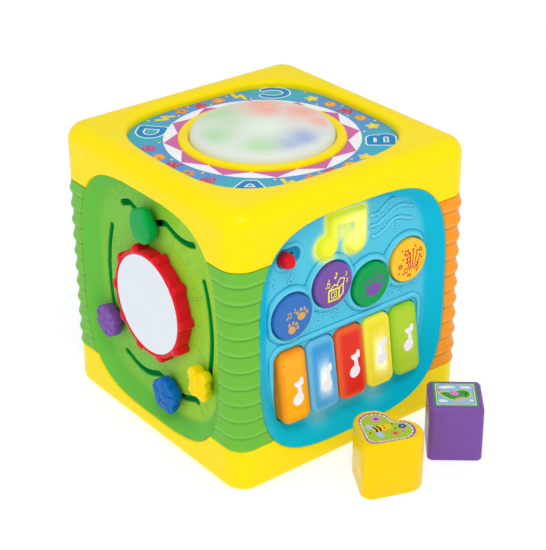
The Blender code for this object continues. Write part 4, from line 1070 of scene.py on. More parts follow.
def splash(art, x, y):
    y -= 2.0
    palm = [(-8.0, -1.0), (-5.0, -6.4), (0.5, -9.0), (6.5, -7.0), (10.5, -1.5), (8.0, 1.2), (4.0, 3.4), (-2.0, 2.6)]
    art.fill(turned_path(palm, (x - 0.5, y + 1.0)), "violet")
    art.disc((x - 0.4, y + 0.4), 5.4, "violet", 1, 0.8, 10)
    for dx, dy, size, turn in ((-7.4, 3.6, 2.3, 60), (-3.4, 8.0, 2.4, 100), (2.6, 9.6, 2.5, 80), (8.0, 7.0, 2.5, 50),
                               (11.2, 1.6, 2.0, 20), (-10.6, -3.6, 1.6, 30), (-9.0, 8.6, 1.2, 0),
                               (6.2, 12.6, 1.2, 0), (12.2, 9.4, 1.0, 0)):
        art.disc((x + dx, y + dy), size, "violet", 1, 0.62, turn)


def fireworks(art, x, y):
    x, y = x + 0.4, y - 0.6
    for dx, dy, size in ((-4.8, 9.6, 3.2), (-11.4, -1.4, 2.3), (8.0, -9.8, 2.3), (10.4, 8.6, 2.1),
                         (-1.4, -12.4, 2.1)):
        art.line(turned_path(star_path(), (x + dx, y + dy), size, 8 * dx), 0.8, "cherry", 1, True)
    for lean, top in ((-5.4, 4.0), (-2.4, 8.0), (1.4, 10.6), (5.6, 8.4), (8.8, 3.6)):
        stem = [(x + 1.0 + lean * (k / 8) ** 0.7, y - 11.0 + (top + 11.0) * k / 8) for k in range(9)]
        art.line(stem[2:], 0.9, "cherry")
        art.disc(stem[-1], 1.1, "cherry")
    for dx, dy in ((-8.6, 4.6), (11.8, 1.0), (-12.6, -7.2), (4.6, 13.4), (-9.8, 12.6), (12.0, -4.6)):
        art.disc((x + dx, y + dy), 0.9, "cherry")
    for nx, ny in ((-6.6, -6.8), (7.4, -3.4), (-3.4, 2.8)):
        art.note((x + nx, y + ny), 2.6, "cherry", 0, nx < 0)


BUTTON_LOOKS = (("blue", (58, 118, 194), paws), ("purple", PURPLE, music_box), ("green", (0, 162, 78), splash),
                ("amber", (255, 200, 46), fireworks))


def make_buttons():
    where = PLANES["front"]
    fillet = 1.5
    profile = [(BUTTON_RADIUS, -12.0), (BUTTON_RADIUS, -6.0 - fillet)]
    profile += [(BUTTON_RADIUS - fillet * (1 - math.cos(a)), -6.0 - fillet * (1 - math.sin(a))) for a in quarter(7)]
    profile += [(BUTTON_RADIUS - fillet - 0.9, -6.03), (BUTTON_RADIUS - fillet - 1.9, -6.35)]
    profile += [(r, BUTTON_FACE + 0.25 * (1 - (r / 14.0) ** 2)) for r in (14.6, 12.0, 8.0, 5.0, 2.0)]
    for colour_name, colour, draw in BUTTON_LOOKS:
        x, y = BUTTON_PLACES[colour_name]
        name, body = "button_" + colour_name, "push_" + colour_name
        surface = Surface().add(*loft(turned(profile, 72, (x, y)), back=True))
        make_piece(name + "_cap", surface, where, [plastic(name + "_plastic", colour, 0.24)], body, name)
        art = Print(name + "_print", base=BUTTON_FACE, layer=0.10,
                    lie=lambda u, v: 0.27 * (1 - ((u - x) ** 2 + (v - y) ** 2) / 196.0))
        draw(art, x + 1.4, y - 1.4)
        art.make(where, body)


def make_switch():
    """The red slide switch: two plump lobes side by side."""
    centre = node_centre("switch_knob", PLANES["front"])
    outline = rounded_box_outline(centre, (12.6, 12.5), 6.0, 12)
    rings = pillow(outline, -1.6, -11.5, 5.4, 0.4, 12, 10)
    for ring in rings[1:]:
        across = (ring[:, 0] - centre[0]) / 6.3
        lobes = 1.5 * np.exp(-((across - 0.42) / 0.42) ** 2) + 0.7 * np.exp(-((across + 0.62) / 0.30) ** 2)
        ring[:, 2] += lobes * np.clip((ring[:, 2] + 8.0) / 6.0, 0, 1) - 0.2
    surface = Surface().add(*loft(rings, back=True))
    make_piece("switch_cap", surface, PLANES["front"], [RED], "switch", "switch_knob", sharp=60.0)


def make_note_lens():
    """The lit note: a clear yellow lens that swells above the panel."""
    points, faces = cut_sheet(np.arange(-36.0, 18.0, 0.45), np.arange(176.0, 219.0, 0.45), note_field)
    inside = np.clip(note_field(points[:, 0], points[:, 1]) / 4.8, 0, 1)
    solid, faces = thicken(points, -12.2 + 6.2 * round_top(1.0 - inside), faces, 1.6)
    paint = Paint("lit_lens", 0.25)
    core = paint.tint(linear((214, 216, 40)), ("core", (244, 240, 150)))
    paint.colour(core).surface(0.28, 0.04, 0.08).glow(core, 0.34)
    spot = np.hypot(solid[:, 0] - 1.0, (solid[:, 1] - 198.0)) / 13.0
    make_piece("note_lens_skin", Surface().add(solid, faces), PLANES["front"], [paint.material], "main",
               "note_lens", masks={"core": np.exp(-spot ** 2)})


# mirror side
RING_CENTRE = 123.8
RING_BUMPS = 10
SLOT_HALF = 2.7
# the middle of each wave, its phase, and where it starts and ends
WAVE_SLOTS = (((-7.0, 194.9), 298.8, -43.0, 56.0), ((19.0, 48.6), 245.0, -72.0, 33.0))
WAVE_PERIOD, WAVE_AMPLITUDE = 50.0, 3.2
ARC_REACH, ARC_RADIUS, ARC_MIDDLE = 72.5, 140.0, 121.0


def slot_paths():
    """The two wavy slots and the two arc slots."""
    paths = []
    for centre, phase, low, high in WAVE_SLOTS:
        steps = np.linspace(low, high, 60)
        angle = 2 * math.pi * steps / WAVE_PERIOD + math.radians(phase)
        paths.append(list(zip(centre[0] + steps + WAVE_AMPLITUDE * np.cos(angle),
                              centre[1] + WAVE_AMPLITUDE * np.sin(angle))))
    z = np.linspace(79.0, 167.0, 24)
    x = ARC_REACH - ARC_RADIUS + np.sqrt(ARC_RADIUS ** 2 - (z - ARC_MIDDLE) ** 2)
    return paths + [list(zip(sign * x, z)) for sign in (-1.0, 1.0)]


SLOTS = slot_paths()


def slot_distance(u, v):
    return np.minimum.reduce([path_distance(u, v, path) for path in SLOTS])


def mirror_holes(u, v):
    return np.minimum(slot_distance(u, v) - SLOT_HALF, np.hypot(u, v - RING_CENTRE) - 8.3)


def jigsaw_lines():
    """Raised spokes and open rings, loosely placed round the mirror."""
    lines = []
    for angle in (24, 68, 158, 200, 248, 292, 338):
        c, s = math.cos(math.radians(angle)), math.sin(math.radians(angle))
        lines.append([(52 * c, RING_CENTRE + 52 * s), (70 * c, RING_CENTRE + 72 * s)])
    for x, y, r, start, end in ((-62, 190, 6, 20, 330), (-50, 208, 7, 200, 400), (-40, 176, 5, 0, 300),
                                (40, 180, 6, 60, 360), (52, 150, 7, 0, 360), (60, 172, 5, -90, 200),
                                (-58, 150, 6, 90, 400), (-70, 128, 5, 0, 270), (-44, 64, 7, 10, 340),
                                (-62, 52, 5, 120, 420), (46, 66, 6, 0, 320), (60, 48, 6, 30, 330),
                                (0, 62, 5, 0, 300), (26, 208, 6, 180, 420), (-20, 38, 6, 0, 200),
                                (60, 120, 5, 40, 300), (-10, 206, 5, 200, 380)):
        lines.append(arc_path((x, y), r, start, end, 16))
    return lines


def mirror_height(u, v):
    raised = beads(u, v, jigsaw_lines(), 1.2, 0.42)
    raised += bead(u, v, arc_path((0, RING_CENTRE), 62.0, 0, 360, 72), 0.9, 0.25)
    raised += beads(u, v, [[(-78 + k, 50 - 5 * k / 9), (-70 + k, 56 - 5 * k / 9)] for k in (0, 9)], 0.8, 0.3)
    raised += 0.3 * np.exp(-((slot_distance(u, v) - SLOT_HALF - 1.0) / 0.9) ** 2)
    return on_floor("left", raised, u, v)


def make_mirror_panel():
    paint = Paint("lime_panel")
    patch = paint.remap(paint.noise(11.0, 1.0), 0.40, 0.60, 0.0, 0.35)
    floor = paint.mix(patch, paint.tint(linear((122, 198, 66)), ("warm", (156, 212, 52))), linear((150, 206, 56)))
    # Painted shade on the rim and in hollows, a painted highlight on raised lips.
    base = relief_shading(paint, paint.tint(floor, ("light_and_shade", (106, 196, 68))), (40, 156, 52), (186, 222, 104))
    paint.colour(base).surface(0.32, 0.05, 0.08)
    make_panel("left", mirror_height, mirror_holes, [paint.material, SLOT_GREEN], "mirror_panel",
               0.7, {"warm": lambda u, v: smooth_step((u + 20.0) / 60.0)}, wall=2.6, wall_paint=1)
    # A dark green sheet behind the slots stands in for the shade inside them; it glows a little so that this painted
    # shade reads green.
    outline = rounded_box_outline((0.0, 121.0), (164.0, 172.0), 30.0)
    surface = Surface().add(*loft(pillow(outline, -20.2, -21.2, 0.4, 0.0, 2, 2), back=True))
    shade = linear((0, 122, 60))
    green = Paint("slot_shade").colour(shade).surface(0.5, bump=0.05).glow(shade, 0.55)
    make_piece("slot_shade_sheet", surface, PLANES["left"], [green.material], "main")


def make_mirror_ring():
    """The red ring: a thin lip, ten round ribs down its side, and the mirror flush in its middle."""
    where = PLANES["left"]
    centre = (0.0, RING_CENTRE)
    base, rib_radius = 46.3, 4.3
    count = RING_BUMPS * 32
    angles = np.arange(count) * 2 * math.pi / count
    step = 2 * math.pi / RING_BUMPS
    across = base * np.abs((angles + step / 2) % step - step / 2)
    rib = np.sqrt(np.clip(rib_radius ** 2 - across ** 2, 0.0, None)) * 0.98

    def ring(grow, out, share=1.0, lift=0.0):
        radii = base + grow + rib * share
        return np.stack([radii * np.cos(angles) + centre[0], radii * np.sin(angles) + centre[1],
                         out + lift * rib / rib_radius], axis=1)

    rings = [ring(0.0, -11.2), ring(0.0, -2.4)]
    for a in quarter(8):
        c, s = math.cos(a), math.sin(a)
        rings.append(ring(-1.7 * (1 - c), -2.0 + 2.4 * s, 0.25 + 0.75 * c, 0.9 * s))
    rings.append(ring(-2.4, 0.42, 0.05, 0.5))
    for a in quarter(4)[1:]:
        rings.append(ring(-2.6 - 0.8 * math.sin(a), 0.42 - 0.8 * (1 - math.cos(a)), 0.0))
    rings.append(ring(-3.5, -1.2, 0.0))
    surface = Surface().add(*loft(rings, front=False))
    surface.add(*loft([polar_ring(43.0, -11.2, count, centre), ring(0.0, -11.2)], front=False))
    make_piece("mirror_ring_skin", surface, where, [RED], "mirror", "mirror_ring", sharp=50.0)

    glass = Paint("mirror_film", 0.10, metallic=1.0)
    glass.colour(linear((222, 227, 234)))
    glass.put(glass.shader, {"Roughness": glass.remap(glass.noise(14.0), 0.3, 0.7, 0.08, 0.14)})
    profile = [(42.9, -1.4), (42.9, -0.5), (42.5, -0.15), (30.0, -0.15), (15.0, -0.15), (3.0, -0.15)]
    surface = Surface().add(*loft(turned(profile, 120, centre), back=True))
    make_piece("mirror_film", surface, where, [glass.material], "mirror", "mirror_disc")


# how far out, and the share of the knob's reach on its wide side and on its narrow side
KNOB_FOOT = ((-10.8, 0.78, 0.42), (-10.0, 0.85, 0.58), (-9.0, 0.92, 0.72), (-7.6, 0.97, 0.83), (-6.2, 1.0, 0.92),
             (-4.6, 1.0, 1.0))
KNOB_EDGE = 2.0


def knob_rings(reach, relief, centre, outward, count=180):
    """Rings of a slider knob. Its foot is narrow on the side that comes near the panel's rim."""
    lean = math.radians(outward)
    rings = []
    for out, wide, narrow in KNOB_FOOT:
        rings.append(polar_ring(lambda a: reach(a) * (wide + (narrow - wide) * np.maximum(np.cos(a - lean), 0.0) ** 2),
                                out, count, centre))
    for a in quarter(8):
        inset = KNOB_EDGE * (1 - math.cos(a))
        rings.append(polar_ring(lambda t: reach(t) - inset, -KNOB_EDGE + KNOB_EDGE * math.sin(a), count, centre))
    for k in range(1, 18):
        rings.append(polar_ring(lambda t: (reach(t) - KNOB_EDGE) * (1.0 - k / 18), 0.0, count, centre))
    for ring in rings[len(KNOB_FOOT):]:
        u, v = ring[:, 0] - centre[0], ring[:, 1] - centre[1]
        ring[:, 2] += relief(u, v) * np.clip((ring[:, 2] + 2.2) / 2.0, 0, 1)
    return rings


def hump(x, middle, width, power=2):
    return np.exp(-((x - middle) / width) ** power)


def apple_reach(angle):
    turn = np.mod(angle, 2 * np.pi)
    oval = 1.0 / np.sqrt((np.cos(angle) / 14.6) ** 2 + (np.sin(angle) / 15.8) ** 2)
    return oval * (1.0 - 0.13 * hump(turn, 0.62 * np.pi, 0.22) - 0.04 * hump(turn, 1.5 * np.pi, 0.24)
                   + 0.12 * hump(turn, 0.36 * np.pi, 0.24))


def apple_relief(u, v):
    """A domed body and a leaf in three steps at the upper right."""
    body = 1.1 * (1.0 - (u ** 2 + (v + 3) ** 2) / 220.0)
    along = (u * 0.55 + v * 0.84) - 5.0
    across = u * 0.84 - v * 0.55
    steps = sum(smooth_step((across + 5.4 - 3.6 * k) / 0.8) for k in range(3))
    return body + 0.55 * steps * smooth_step(along / 2.5)


def petal_reach(radius, petals, depth, start=90.0):
    def reach(angle):
        return radius * (1.0 - depth + depth * np.abs(np.cos(petals / 2 * (angle - math.radians(start)))) ** 0.7)
    return reach


def flower_relief(u, v):
    r = np.hypot(u, v)
    angle = np.arctan2(v, u)
    groove = np.abs(np.sin(2.5 * (angle - math.pi / 2)))
    veins = -1.1 * (1 - smooth_step(groove / 0.22)) * smooth_step((r - 4.5) / 3.0)
    inner = 0.7 * np.exp(-((r - 9.4 + 2.0 * groove) / 1.0) ** 2)
    return veins + inner + 1.2 * smooth_step((4.4 - r) / 1.6) + 0.2


def tulip_relief(u, v):
    """Broad folded petals round a small spiral."""
    r = np.hypot(u, v)
    angle = np.arctan2(v, u)
    fold = np.abs(np.sin(3.0 * (angle - math.pi / 2)))
    petals = -1.0 * (1 - smooth_step(fold / 0.28)) * smooth_step((r - 6.0) / 3.0)
    spiral = smooth_step((np.cos(angle - r * 0.75) - 0.3) / 0.3)
    return petals + 0.6 * spiral * smooth_step((8.0 - r) / 2.0)


def butterfly_reach(angle):
    turn = np.mod(angle, 2 * np.pi)
    upper = 15.8 * hump(np.abs(turn - np.pi / 2), 0.66, 0.62, 4)
    lower = 14.6 * hump(np.abs(turn - 1.5 * np.pi), 0.70, 0.60, 4)
    return np.maximum(np.maximum(upper, lower), 11.4)


def butterfly_relief(u, v):
    body = bead(u, v, [(0.0, -7.5), (0.0, 6.0)], 4.8, 1.7)
    head = 1.8 * np.sqrt(np.clip(1 - (u ** 2 + (v - 8.0) ** 2) / 7.0, 0, 1))
    wings = 0.7 * hump(np.hypot(np.abs(u) - 8.0, v - 6.0), 3.4, 0.9)
    wings = wings + 0.7 * hump(np.hypot(np.abs(u) - 7.4, v + 6.4), 2.8, 0.8)
    valley = -0.8 * np.exp(-(v / 1.1) ** 2) * smooth_step((np.abs(u) - 4.0) / 3.0)
    return np.maximum(body, head) + wings + valley


# name, outline, relief, colour, body, slot, the direction of the panel's nearest rim
KNOBS = (("apple", apple_reach, apple_relief, (0, 166, 74), "apple_rider", "green_plastic", 75.0),
         ("flower", petal_reach(16.3, 5, 0.18), flower_relief, (0, 104, 186), "flower_rider", "blue_plastic", 270.0),
         ("tulip", petal_reach(15.2, 6, 0.14), tulip_relief, (122, 78, 166), "tulip_slider", "purple_plastic", 180.0),
         ("butterfly", butterfly_reach, butterfly_relief, (255, 220, 0), "butterfly_slider", "yellow_plastic", 0.0))


def make_knobs():
    where = PLANES["left"]
    for name, reach, relief, colour, body, slot, outward in KNOBS:
        rings = knob_rings(reach, relief, node_centre(name + "_screw", where), outward)
        make_piece(name + "_knob_skin", Surface().add(*loft(rings, back=True)), where,
                   [plastic(name + "_plastic", colour, 0.24)], body, name + "_knob", sharp=45.0)


# ------------------------------------------------------------------ drum top

LABEL_HOLE = 62.0
RING_INNER, RING_OUTER = 66.0, 80.8
LETTER_PLACES = (("D", -65.0, 66.0, 221.0), ("C", 66.8, 71.0, 141.0), ("B", 71.0, -65.0, 50.0),
                 ("A", -66.5, -70.0, 320.0))
DRUM_OUTER = 69.0
DOME_RADIUS = 59.7
DOME_RISE = 15.5


def make_drum():
    """The printed label, the ring that holds the skin, and the skin."""
    where = PLANES["top"]
    blue = Paint("label_blue")
    blue.colour(blue.tint(linear((84, 152, 214)), ("corner", (62, 176, 194)))).surface(0.30, 0.04, 0.03)
    reach = superellipse_reach(RECESS[0] - 0.2, RECESS[1] - 0.2, RECESS_POWER)
    rings = []
    for share in (1.0, 0.85, 0.7, 0.5, 0.25, 0.0):
        rings.append(polar_ring(lambda a: reach(a) * share + LABEL_HOLE * (1 - share), 0.0, 240))
    rings.append(polar_ring(LABEL_HOLE, -0.6, 240))
    surface = Surface().add(*loft(rings, front=False))
    away = np.abs(np.array(surface.points)[:, :2]).min(axis=1)
    make_piece("drum_label_skin", surface, where, [blue.material], "main", "drum_label",
               masks={"corner": smooth_step((away - 30.0) / 30.0)})

    art = Print("drum_label_print", layer=0.05, step=0.45)
    flat, faces = loft([polar_ring(RING_OUTER, 0.0, 180), polar_ring(RING_INNER, 0.0, 180)], front=False)
    art.lay(flat[:, :2], faces, "white", 1)
    half = math.radians(14.6)
    for k in range(12):
        middle = math.radians(30.0 * k)
        corners = ((80.6, middle), (70.2, middle + half), (66.5, middle + half), (66.5, middle - half),
                   (70.2, middle - half))
        art.lay([spoke(*corner) for corner in corners], [tuple(range(5))], "magenta", 2)
    for letter, x, y, degrees in LETTER_PLACES:
        art.letter(letter, (x, y), degrees)
    icons(art)
    art.make(where, "main", "sticker_sheet")

    profile = [(DRUM_OUTER, -0.7)]
    profile += [(DRUM_OUTER - 3.2 * (1 - math.cos(a)), 0.3 + 3.2 * math.sin(a)) for a in quarter(8)]
    profile += [(63.4, 3.6), (62.0, 3.3), (60.9, 2.6), (60.2, 1.6), (60.0, -2.5)]
    surface = Surface().add(*loft(turned(profile, 160), front=False))
    make_piece("drum_ring_skin", surface, where, [YELLOW], "main", "drum_ring")
    make_dome(where)


# the direction of each side's middle, and the icons from one end of the side to the other
ICON_SIDES = ((0, ("star", "moon", "bow", "moon", "star")), (90, ("bolt", "moon", "bow", "star2", "bolt")),
              (180, ("spiral", "moon", "bow", "star2", "spiral")), (270, ("bolt", "star2", "bow", "moon", "star")))
ICON_INKS = {"bolt": "sun", "bow": "coral", "moon": "tangerine", "spiral": "coral", "star": "sun",
             "star2": "tangerine"}
ICON_PITCH = 12.5
BOLT = [(-1.1, 0.8), (-0.2, -0.55), (0.3, 0.55), (1.2, -0.7)]
BOW = [(-0.9, 0.7), (-0.5, -0.6), (0.1, 0.3), (0.5, -0.5), (1.0, 0.8)]


def draw_icon(art, kind, spot, size, turn):
    """One small picture of the label: a bolt, a bow, a moon, a spiral or a star."""
    ink = ICON_INKS[kind]
    if kind == "bolt":
        art.line(turned_path(BOLT, spot, size * 0.9, turn), 0.52 * size, ink, 2)
    elif kind == "bow":
        art.line(turned_path(BOW, spot, size * 0.9, turn), 0.50 * size, ink, 2)
        art.disc(turned_path([(0.0, 0.9)], spot, size * 0.8, turn)[0], 0.3 * size, ink, 2)
    elif kind == "moon":
        art.disc(spot, 0.95 * size, ink, 2, 0.8, turn)
        art.line(turned_path(arc_path((0, 0), 0.42, 30, 300), spot, size, turn), 0.2 * size, "sun", 3)
    elif kind == "spiral":
        art.line(turned_path(spiral_path(), spot, size, turn), 0.28 * size, ink, 2)
    else:
        path = turned_path(star_path(), spot, size * 0.82, turn)
        art.fill(path, ink, 2)
        art.line(path, 0.34 * size, ink, 2, True)
        art.disc(spot, 0.24 * size, "lemon" if ink == "sun" else "deep_blue", 3)


def icons(art):
    """Small pictures and dots between the letters, all inside the recess."""
    reach = superellipse_reach(*RECESS, RECESS_POWER)
    for middle, kinds in ICON_SIDES:
        for number, kind in enumerate(kinds):
            degrees = middle + ICON_PITCH * (number - 2)
            angle = math.radians(degrees)
            edge = float(reach(angle))
            draw_icon(art, kind, spoke((81.4 + edge) / 2, angle), min(6.4, (edge - 82.0) * 0.46),
                      degrees + 90 + 25 * (number % 3 - 1))
        for number in range(6):
            angle = math.radians(middle + ICON_PITCH * (number - 2.5))
            art.disc(spoke(float(reach(angle)) - 3.2 if number % 2 else 84.0, angle), 1.25, "sun")


def make_dome(where):
    """The milky drum skin, lit from below in green, red and blue."""
    rings = [polar_ring(DOME_RADIUS, -3.0, 160)]
    for share in list(np.linspace(1.0, 0.9, 12)) + list(np.linspace(0.88, 0.0, 40)[:-1]):
        rings.append(polar_ring(DOME_RADIUS * share, DOME_RISE * (1 - share ** 3.2) ** (1 / 3.0), 160))
    surface = Surface().add(*loft(rings))
    x, y = np.array(surface.points)[:, :2].T
    r, angle = np.hypot(x, y), np.arctan2(y, x)

    def patch(*spots):
        """The strongest of several soft spots, each (x, y, size, strength)."""
        return np.max([s * np.exp(-(np.hypot(x - cx, y - cy) / size) ** 2) for cx, cy, size, s in spots], axis=0)

    rays = 0.5 + 0.5 * np.cos(9 * angle + 0.7) * np.cos(14 * angle + 2.0)
    fade = smooth_step((58.5 - r) / 9.0)
    green = patch((-17, 34, 20, 1.0), (-46, 3, 18, 1.0), (-30, -38, 17, 1.0), (-24, 12, 20, 0.7))
    red = patch((22, 28, 20, 1.0), (16, 14, 17, 1.0), (38, -4, 20, 1.0), (38, -27, 12, 0.9))
    masks = {"green": 0.85 * green * fade * (0.8 + 0.2 * rays), "red": 0.85 * red * fade,
             "blue": 0.8 * patch((6, -46, 15, 1.0), (-8, -48, 12, 0.8)) * fade,
             "rays": 0.7 * patch((-8, -12, 17.0, 1.0)) + 0.18 * rays * np.exp(-r / 36.0)}
    paint = Paint("milky_dome", 0.30)
    base = paint.tint(linear((218, 224, 218)), ("green", (166, 214, 150)), ("red", (244, 156, 136)),
                      ("blue", (138, 156, 212)), ("rays", (226, 240, 224)))
    paint.colour(base).surface(0.26, 0.05, 0.04).glow(base, 0.08)
    make_piece("drum_dome_skin", surface, where, [paint.material], "drum", "drum_dome",
               masks=masks)


# ------------------------------------------------------------------ sorter side

HEART_HOLE = (-31.5, 166.0)
SQUARE_HOLE = (37.5, 166.0)
DOOR_MIDDLE = (0.0, 86.2)
DOOR_SIZE = (99.8, 57.4)
DOOR_FACE = -11.8


def heart_reach(width, length):
    """The outline of a plump heart whose tip points to the left."""
    lobe, tip = width * 0.27, width * 0.15

    def sharp(angle):
        furthest = np.zeros(np.shape(angle))
        for share in np.linspace(0.0, 1.0, 25):
            x = (tip - length / 2) * (1 - share) + (length / 2 - lobe) * share
            y, radius = (width / 2 - lobe) * share, tip + (lobe - tip) * share
            along = x * np.cos(angle) + y * np.abs(np.sin(angle))
            left = radius ** 2 + along ** 2 - x ** 2 - y ** 2
            furthest = np.maximum(furthest, np.where(left > 0, along + np.sqrt(np.maximum(left, 0)), 0))
        return furthest

    def reach(angle):
        turn = (np.asarray(angle) + math.pi) % (2 * math.pi) - math.pi
        spread = 0.19 * np.exp(-(turn / 0.34) ** 2)
        return np.mean([sharp(turn + spread * share) for share in np.linspace(-1.0, 1.0, 7)], axis=0)
    return reach


def heart_field(u, v, width, length, centre):
    """How far inside an upright heart each point is. The heart hangs tip down."""
    x, y = v - centre[1], u - centre[0]
    return heart_reach(width, length)(np.arctan2(y, x)) - np.hypot(x, y)


def sorter_holes(u, v):
    door = box_field(u, v, (0.0, 85.0), (101.4, 62.0), 1.2)
    field = -np.maximum(door, heart_field(u, v, HEART_SIZE[0] + 3.0, HEART_SIZE[1] + 3.0, HEART_HOLE))
    return np.minimum(field, -box_field(u, v, SQUARE_HOLE, (48.0, 48.0), 6.0))


def sorter_height(u, v):
    """A lip round the holes, and raised stars and dots."""
    stars = ((-66, 120, 5, 0), (66, 128, 5, 20), (0, 192, 6, 0), (0, 126, 4, 10), (-66, 90, 4, 15), (66, 92, 4, 30))
    dots = ((-60, 140, 3), (60, 142, 3), (22, 200, 3), (-22, 200, 3), (0, 136, 2))
    raised = 1.4 * np.exp(-((sorter_holes(u, v) - 2.6) / 1.7) ** 4)
    raised += beads(u, v, [turned_path(star_path(), (x, y), r, turn) for x, y, r, turn in stars], 1.1, 0.5, True)
    raised += beads(u, v, [arc_path((x, y), r, 0, 360, 24) for x, y, r in dots], 1.0, 0.45)
    return on_floor("right", raised, u, v)


def make_sorter_side():
    where = PLANES["right"]
    # Painted shade on the rim and in hollows, a painted highlight on raised lips.
    amber = rim_shaded_panel("orange_panel", (252, 170, 44), (246, 140, 20), (196, 92, 6), (255, 206, 110), 0.30)
    make_panel("right", sorter_height, sorter_holes, [amber], "sorter_panel", 1.0)
    outline = rounded_box_outline(DOOR_MIDDLE, DOOR_SIZE, 3.0)
    surface = Surface().add(*loft(pillow(outline, DOOR_FACE, -14.7, 1.2, 0.0, 4, 2), back=True))
    grip = rounded_box_outline((0.0, 107.1), (25.0, 5.2), 2.4)
    surface.add(*loft(pillow(grip, -7.2, -12.0, 1.8, 0.0, 5, 2)))
    make_piece("sorter_door_skin", surface, where, [YELLOW], "door", "sorter_door")
    art = Print("sorter_door_relief", base=DOOR_FACE, layer=0.5)
    for x, ink in ((-30.0, "cherry"), (0.0, "deep_blue"), (30.0, "leaf")):
        art.star((x, 80.0), 9.0, ink, 1, x / 5)
    art.make(where, "door")


# ------------------------------------------------------------------ gear side

def gear_height(u, v):
    """Raised spirals in the corners and a circle round the gears."""
    spirals = ((-62, 60, 7), (62, 70, 8), (62, 190, 7), (-62, 190, 6), (48, 50, 5), (0, 196, 6))
    raised = beads(u, v, [turned_path(spiral_path(2.0, 40), (x, y), r) for x, y, r in spirals], 1.2, 0.5)
    raised += bead(u, v, arc_path((0, 122), 70.0, 0, 360, 90), 1.4, 0.5)
    return on_floor("back", raised, u, v)


def gear_tooth_angle(name, middle, teeth):
    """The angle of a tooth, read from how far the CAD gear's front points lie from its centre."""
    origin, right, up, out = PLANES["back"]
    mesh = frame["nodes"][name].data
    world = np.array([v.co[:] for v in mesh.vertices]) / MM - origin
    u, v, height = world @ right - middle[0], world @ up - middle[1], world @ out
    front = height > height.max() - 3.0
    phase = np.sum(np.hypot(u, v)[front] ** 6 * np.exp(1j * teeth * np.arctan2(v, u)[front]))
    return float(np.angle(phase)) / teeth


TOOTH_PITCH = 17.0
TOOTH_HEIGHT = 3.0
GEAR_HUB = ((9.6, -3.4), (9.0, -2.0), (8.2, -1.2), (6.6, -1.0), (3.0, -1.0))


def make_gear(name, teeth, centre, body, material):
    """A gear with rounded teeth, a sunken web, a hub and printed stars."""
    where = PLANES["back"]
    radius = teeth * TOOTH_PITCH / (2 * math.pi)
    inner = radius - 9.0
    tooth = gear_tooth_angle(name, centre, teeth)
    count = teeth * 24

    def reach(angle):
        wave = np.cos(teeth * (angle - tooth))
        return radius + TOOTH_HEIGHT * np.sign(wave) * np.abs(wave) ** 0.85

    rings = [polar_ring(reach, out, count, centre) for out in (-11.0, -3.2)]
    for a in quarter(6):
        inset = 2.0 * (1 - math.cos(a))
        rings.append(polar_ring(lambda t: reach(t) - inset, -3.2 + 2.0 * math.sin(a), count, centre))
    for inset, out in ((5.0, -1.2), (6.2, -1.5), (6.8, -3.0), (7.6, -3.3)):
        blend = inset / 8.0
        rings.append(polar_ring(lambda t: reach(t) * (1 - blend) + (radius - 1.0) * blend - inset * 0.9, out, count,
                                centre))
    rings += [polar_ring(r, out, count, centre) for r, out in ((inner - 1.5, -3.4), *GEAR_HUB) if r < inner]
    make_piece(name + "_skin", Surface().add(*loft(rings, back=True)), where, [material], body, name, sharp=45.0)
    art = Print(name + "_print", base=-3.4, layer=0.25)
    spots = max(3, teeth // 3) if inner > 14.0 else 0
    for k in range(spots):
        angle = tooth + 2 * math.pi * k / spots
        art.star(spoke((inner + 8.2) / 2, angle, centre), min(4.0, (inner - 9.0) * 0.32), "white", 1,
                 math.degrees(angle) - 90)
    art.star(centre, 0.9, "white")
    art.make(where, body)


def make_gear_side():
    origin, right, up, _ = PLANES["back"]
    # Painted shade on the rim and in hollows, a painted highlight on raised lips.
    cyan = rim_shaded_panel("gear_panel_cyan", *CYAN, 0.30)
    make_panel("back", gear_height, no_holes, [cyan], "gear_panel", 1.0)
    joints = {j["child"]: j for j in frame["joints"]}
    gears = (("gear_large", 13, "large_wheel", RED, "red_plastic"),
             ("gear_medium", 10, "medium_wheel", YELLOW, "yellow_plastic"),
             ("gear_small", 7, "small_wheel", plastic("violet_gear", PURPLE, 0.26), "purple_plastic"))
    for name, teeth, body, material, slot in gears:
        pivot = np.array(joints[body]["pos_m"]) / MM - origin
        make_gear(name, teeth, (float(pivot @ right), float(pivot @ up)), body, material)


# ------------------------------------------------------------------ blocks

HEART_SIZE = (60.0, 52.6)
HEART_PLACE = (-17.6, -173.4, 20.3)
SQUARE_PLACE = (63.5, -171.5, -40.0)
BLOCK_TOP = 50.0


def block_rings(outline, fillet):
    """A block with slightly tapered sides, a rounded top edge and a flat top."""
    rings = [at_level(outline(0.9), -BLOCK_TOP), at_level(outline(0.15), -BLOCK_TOP + 0.9),
             at_level(outline(0.1), -BLOCK_TOP / 2)]
    return rings + [at_level(outline(0.2 + fillet * (1 - math.cos(a))), -fillet * (1 - math.sin(a)))
                    for a in quarter(9)]


def heart_outline(width, length, count=180):
    angles = np.arange(count) * 2 * math.pi / count

    def outline(inset):
        radii = heart_reach(width - 2 * inset, length - 2 * inset)(angles)
        return np.stack([radii * np.cos(angles), radii * np.sin(angles)], axis=1)
    return outline


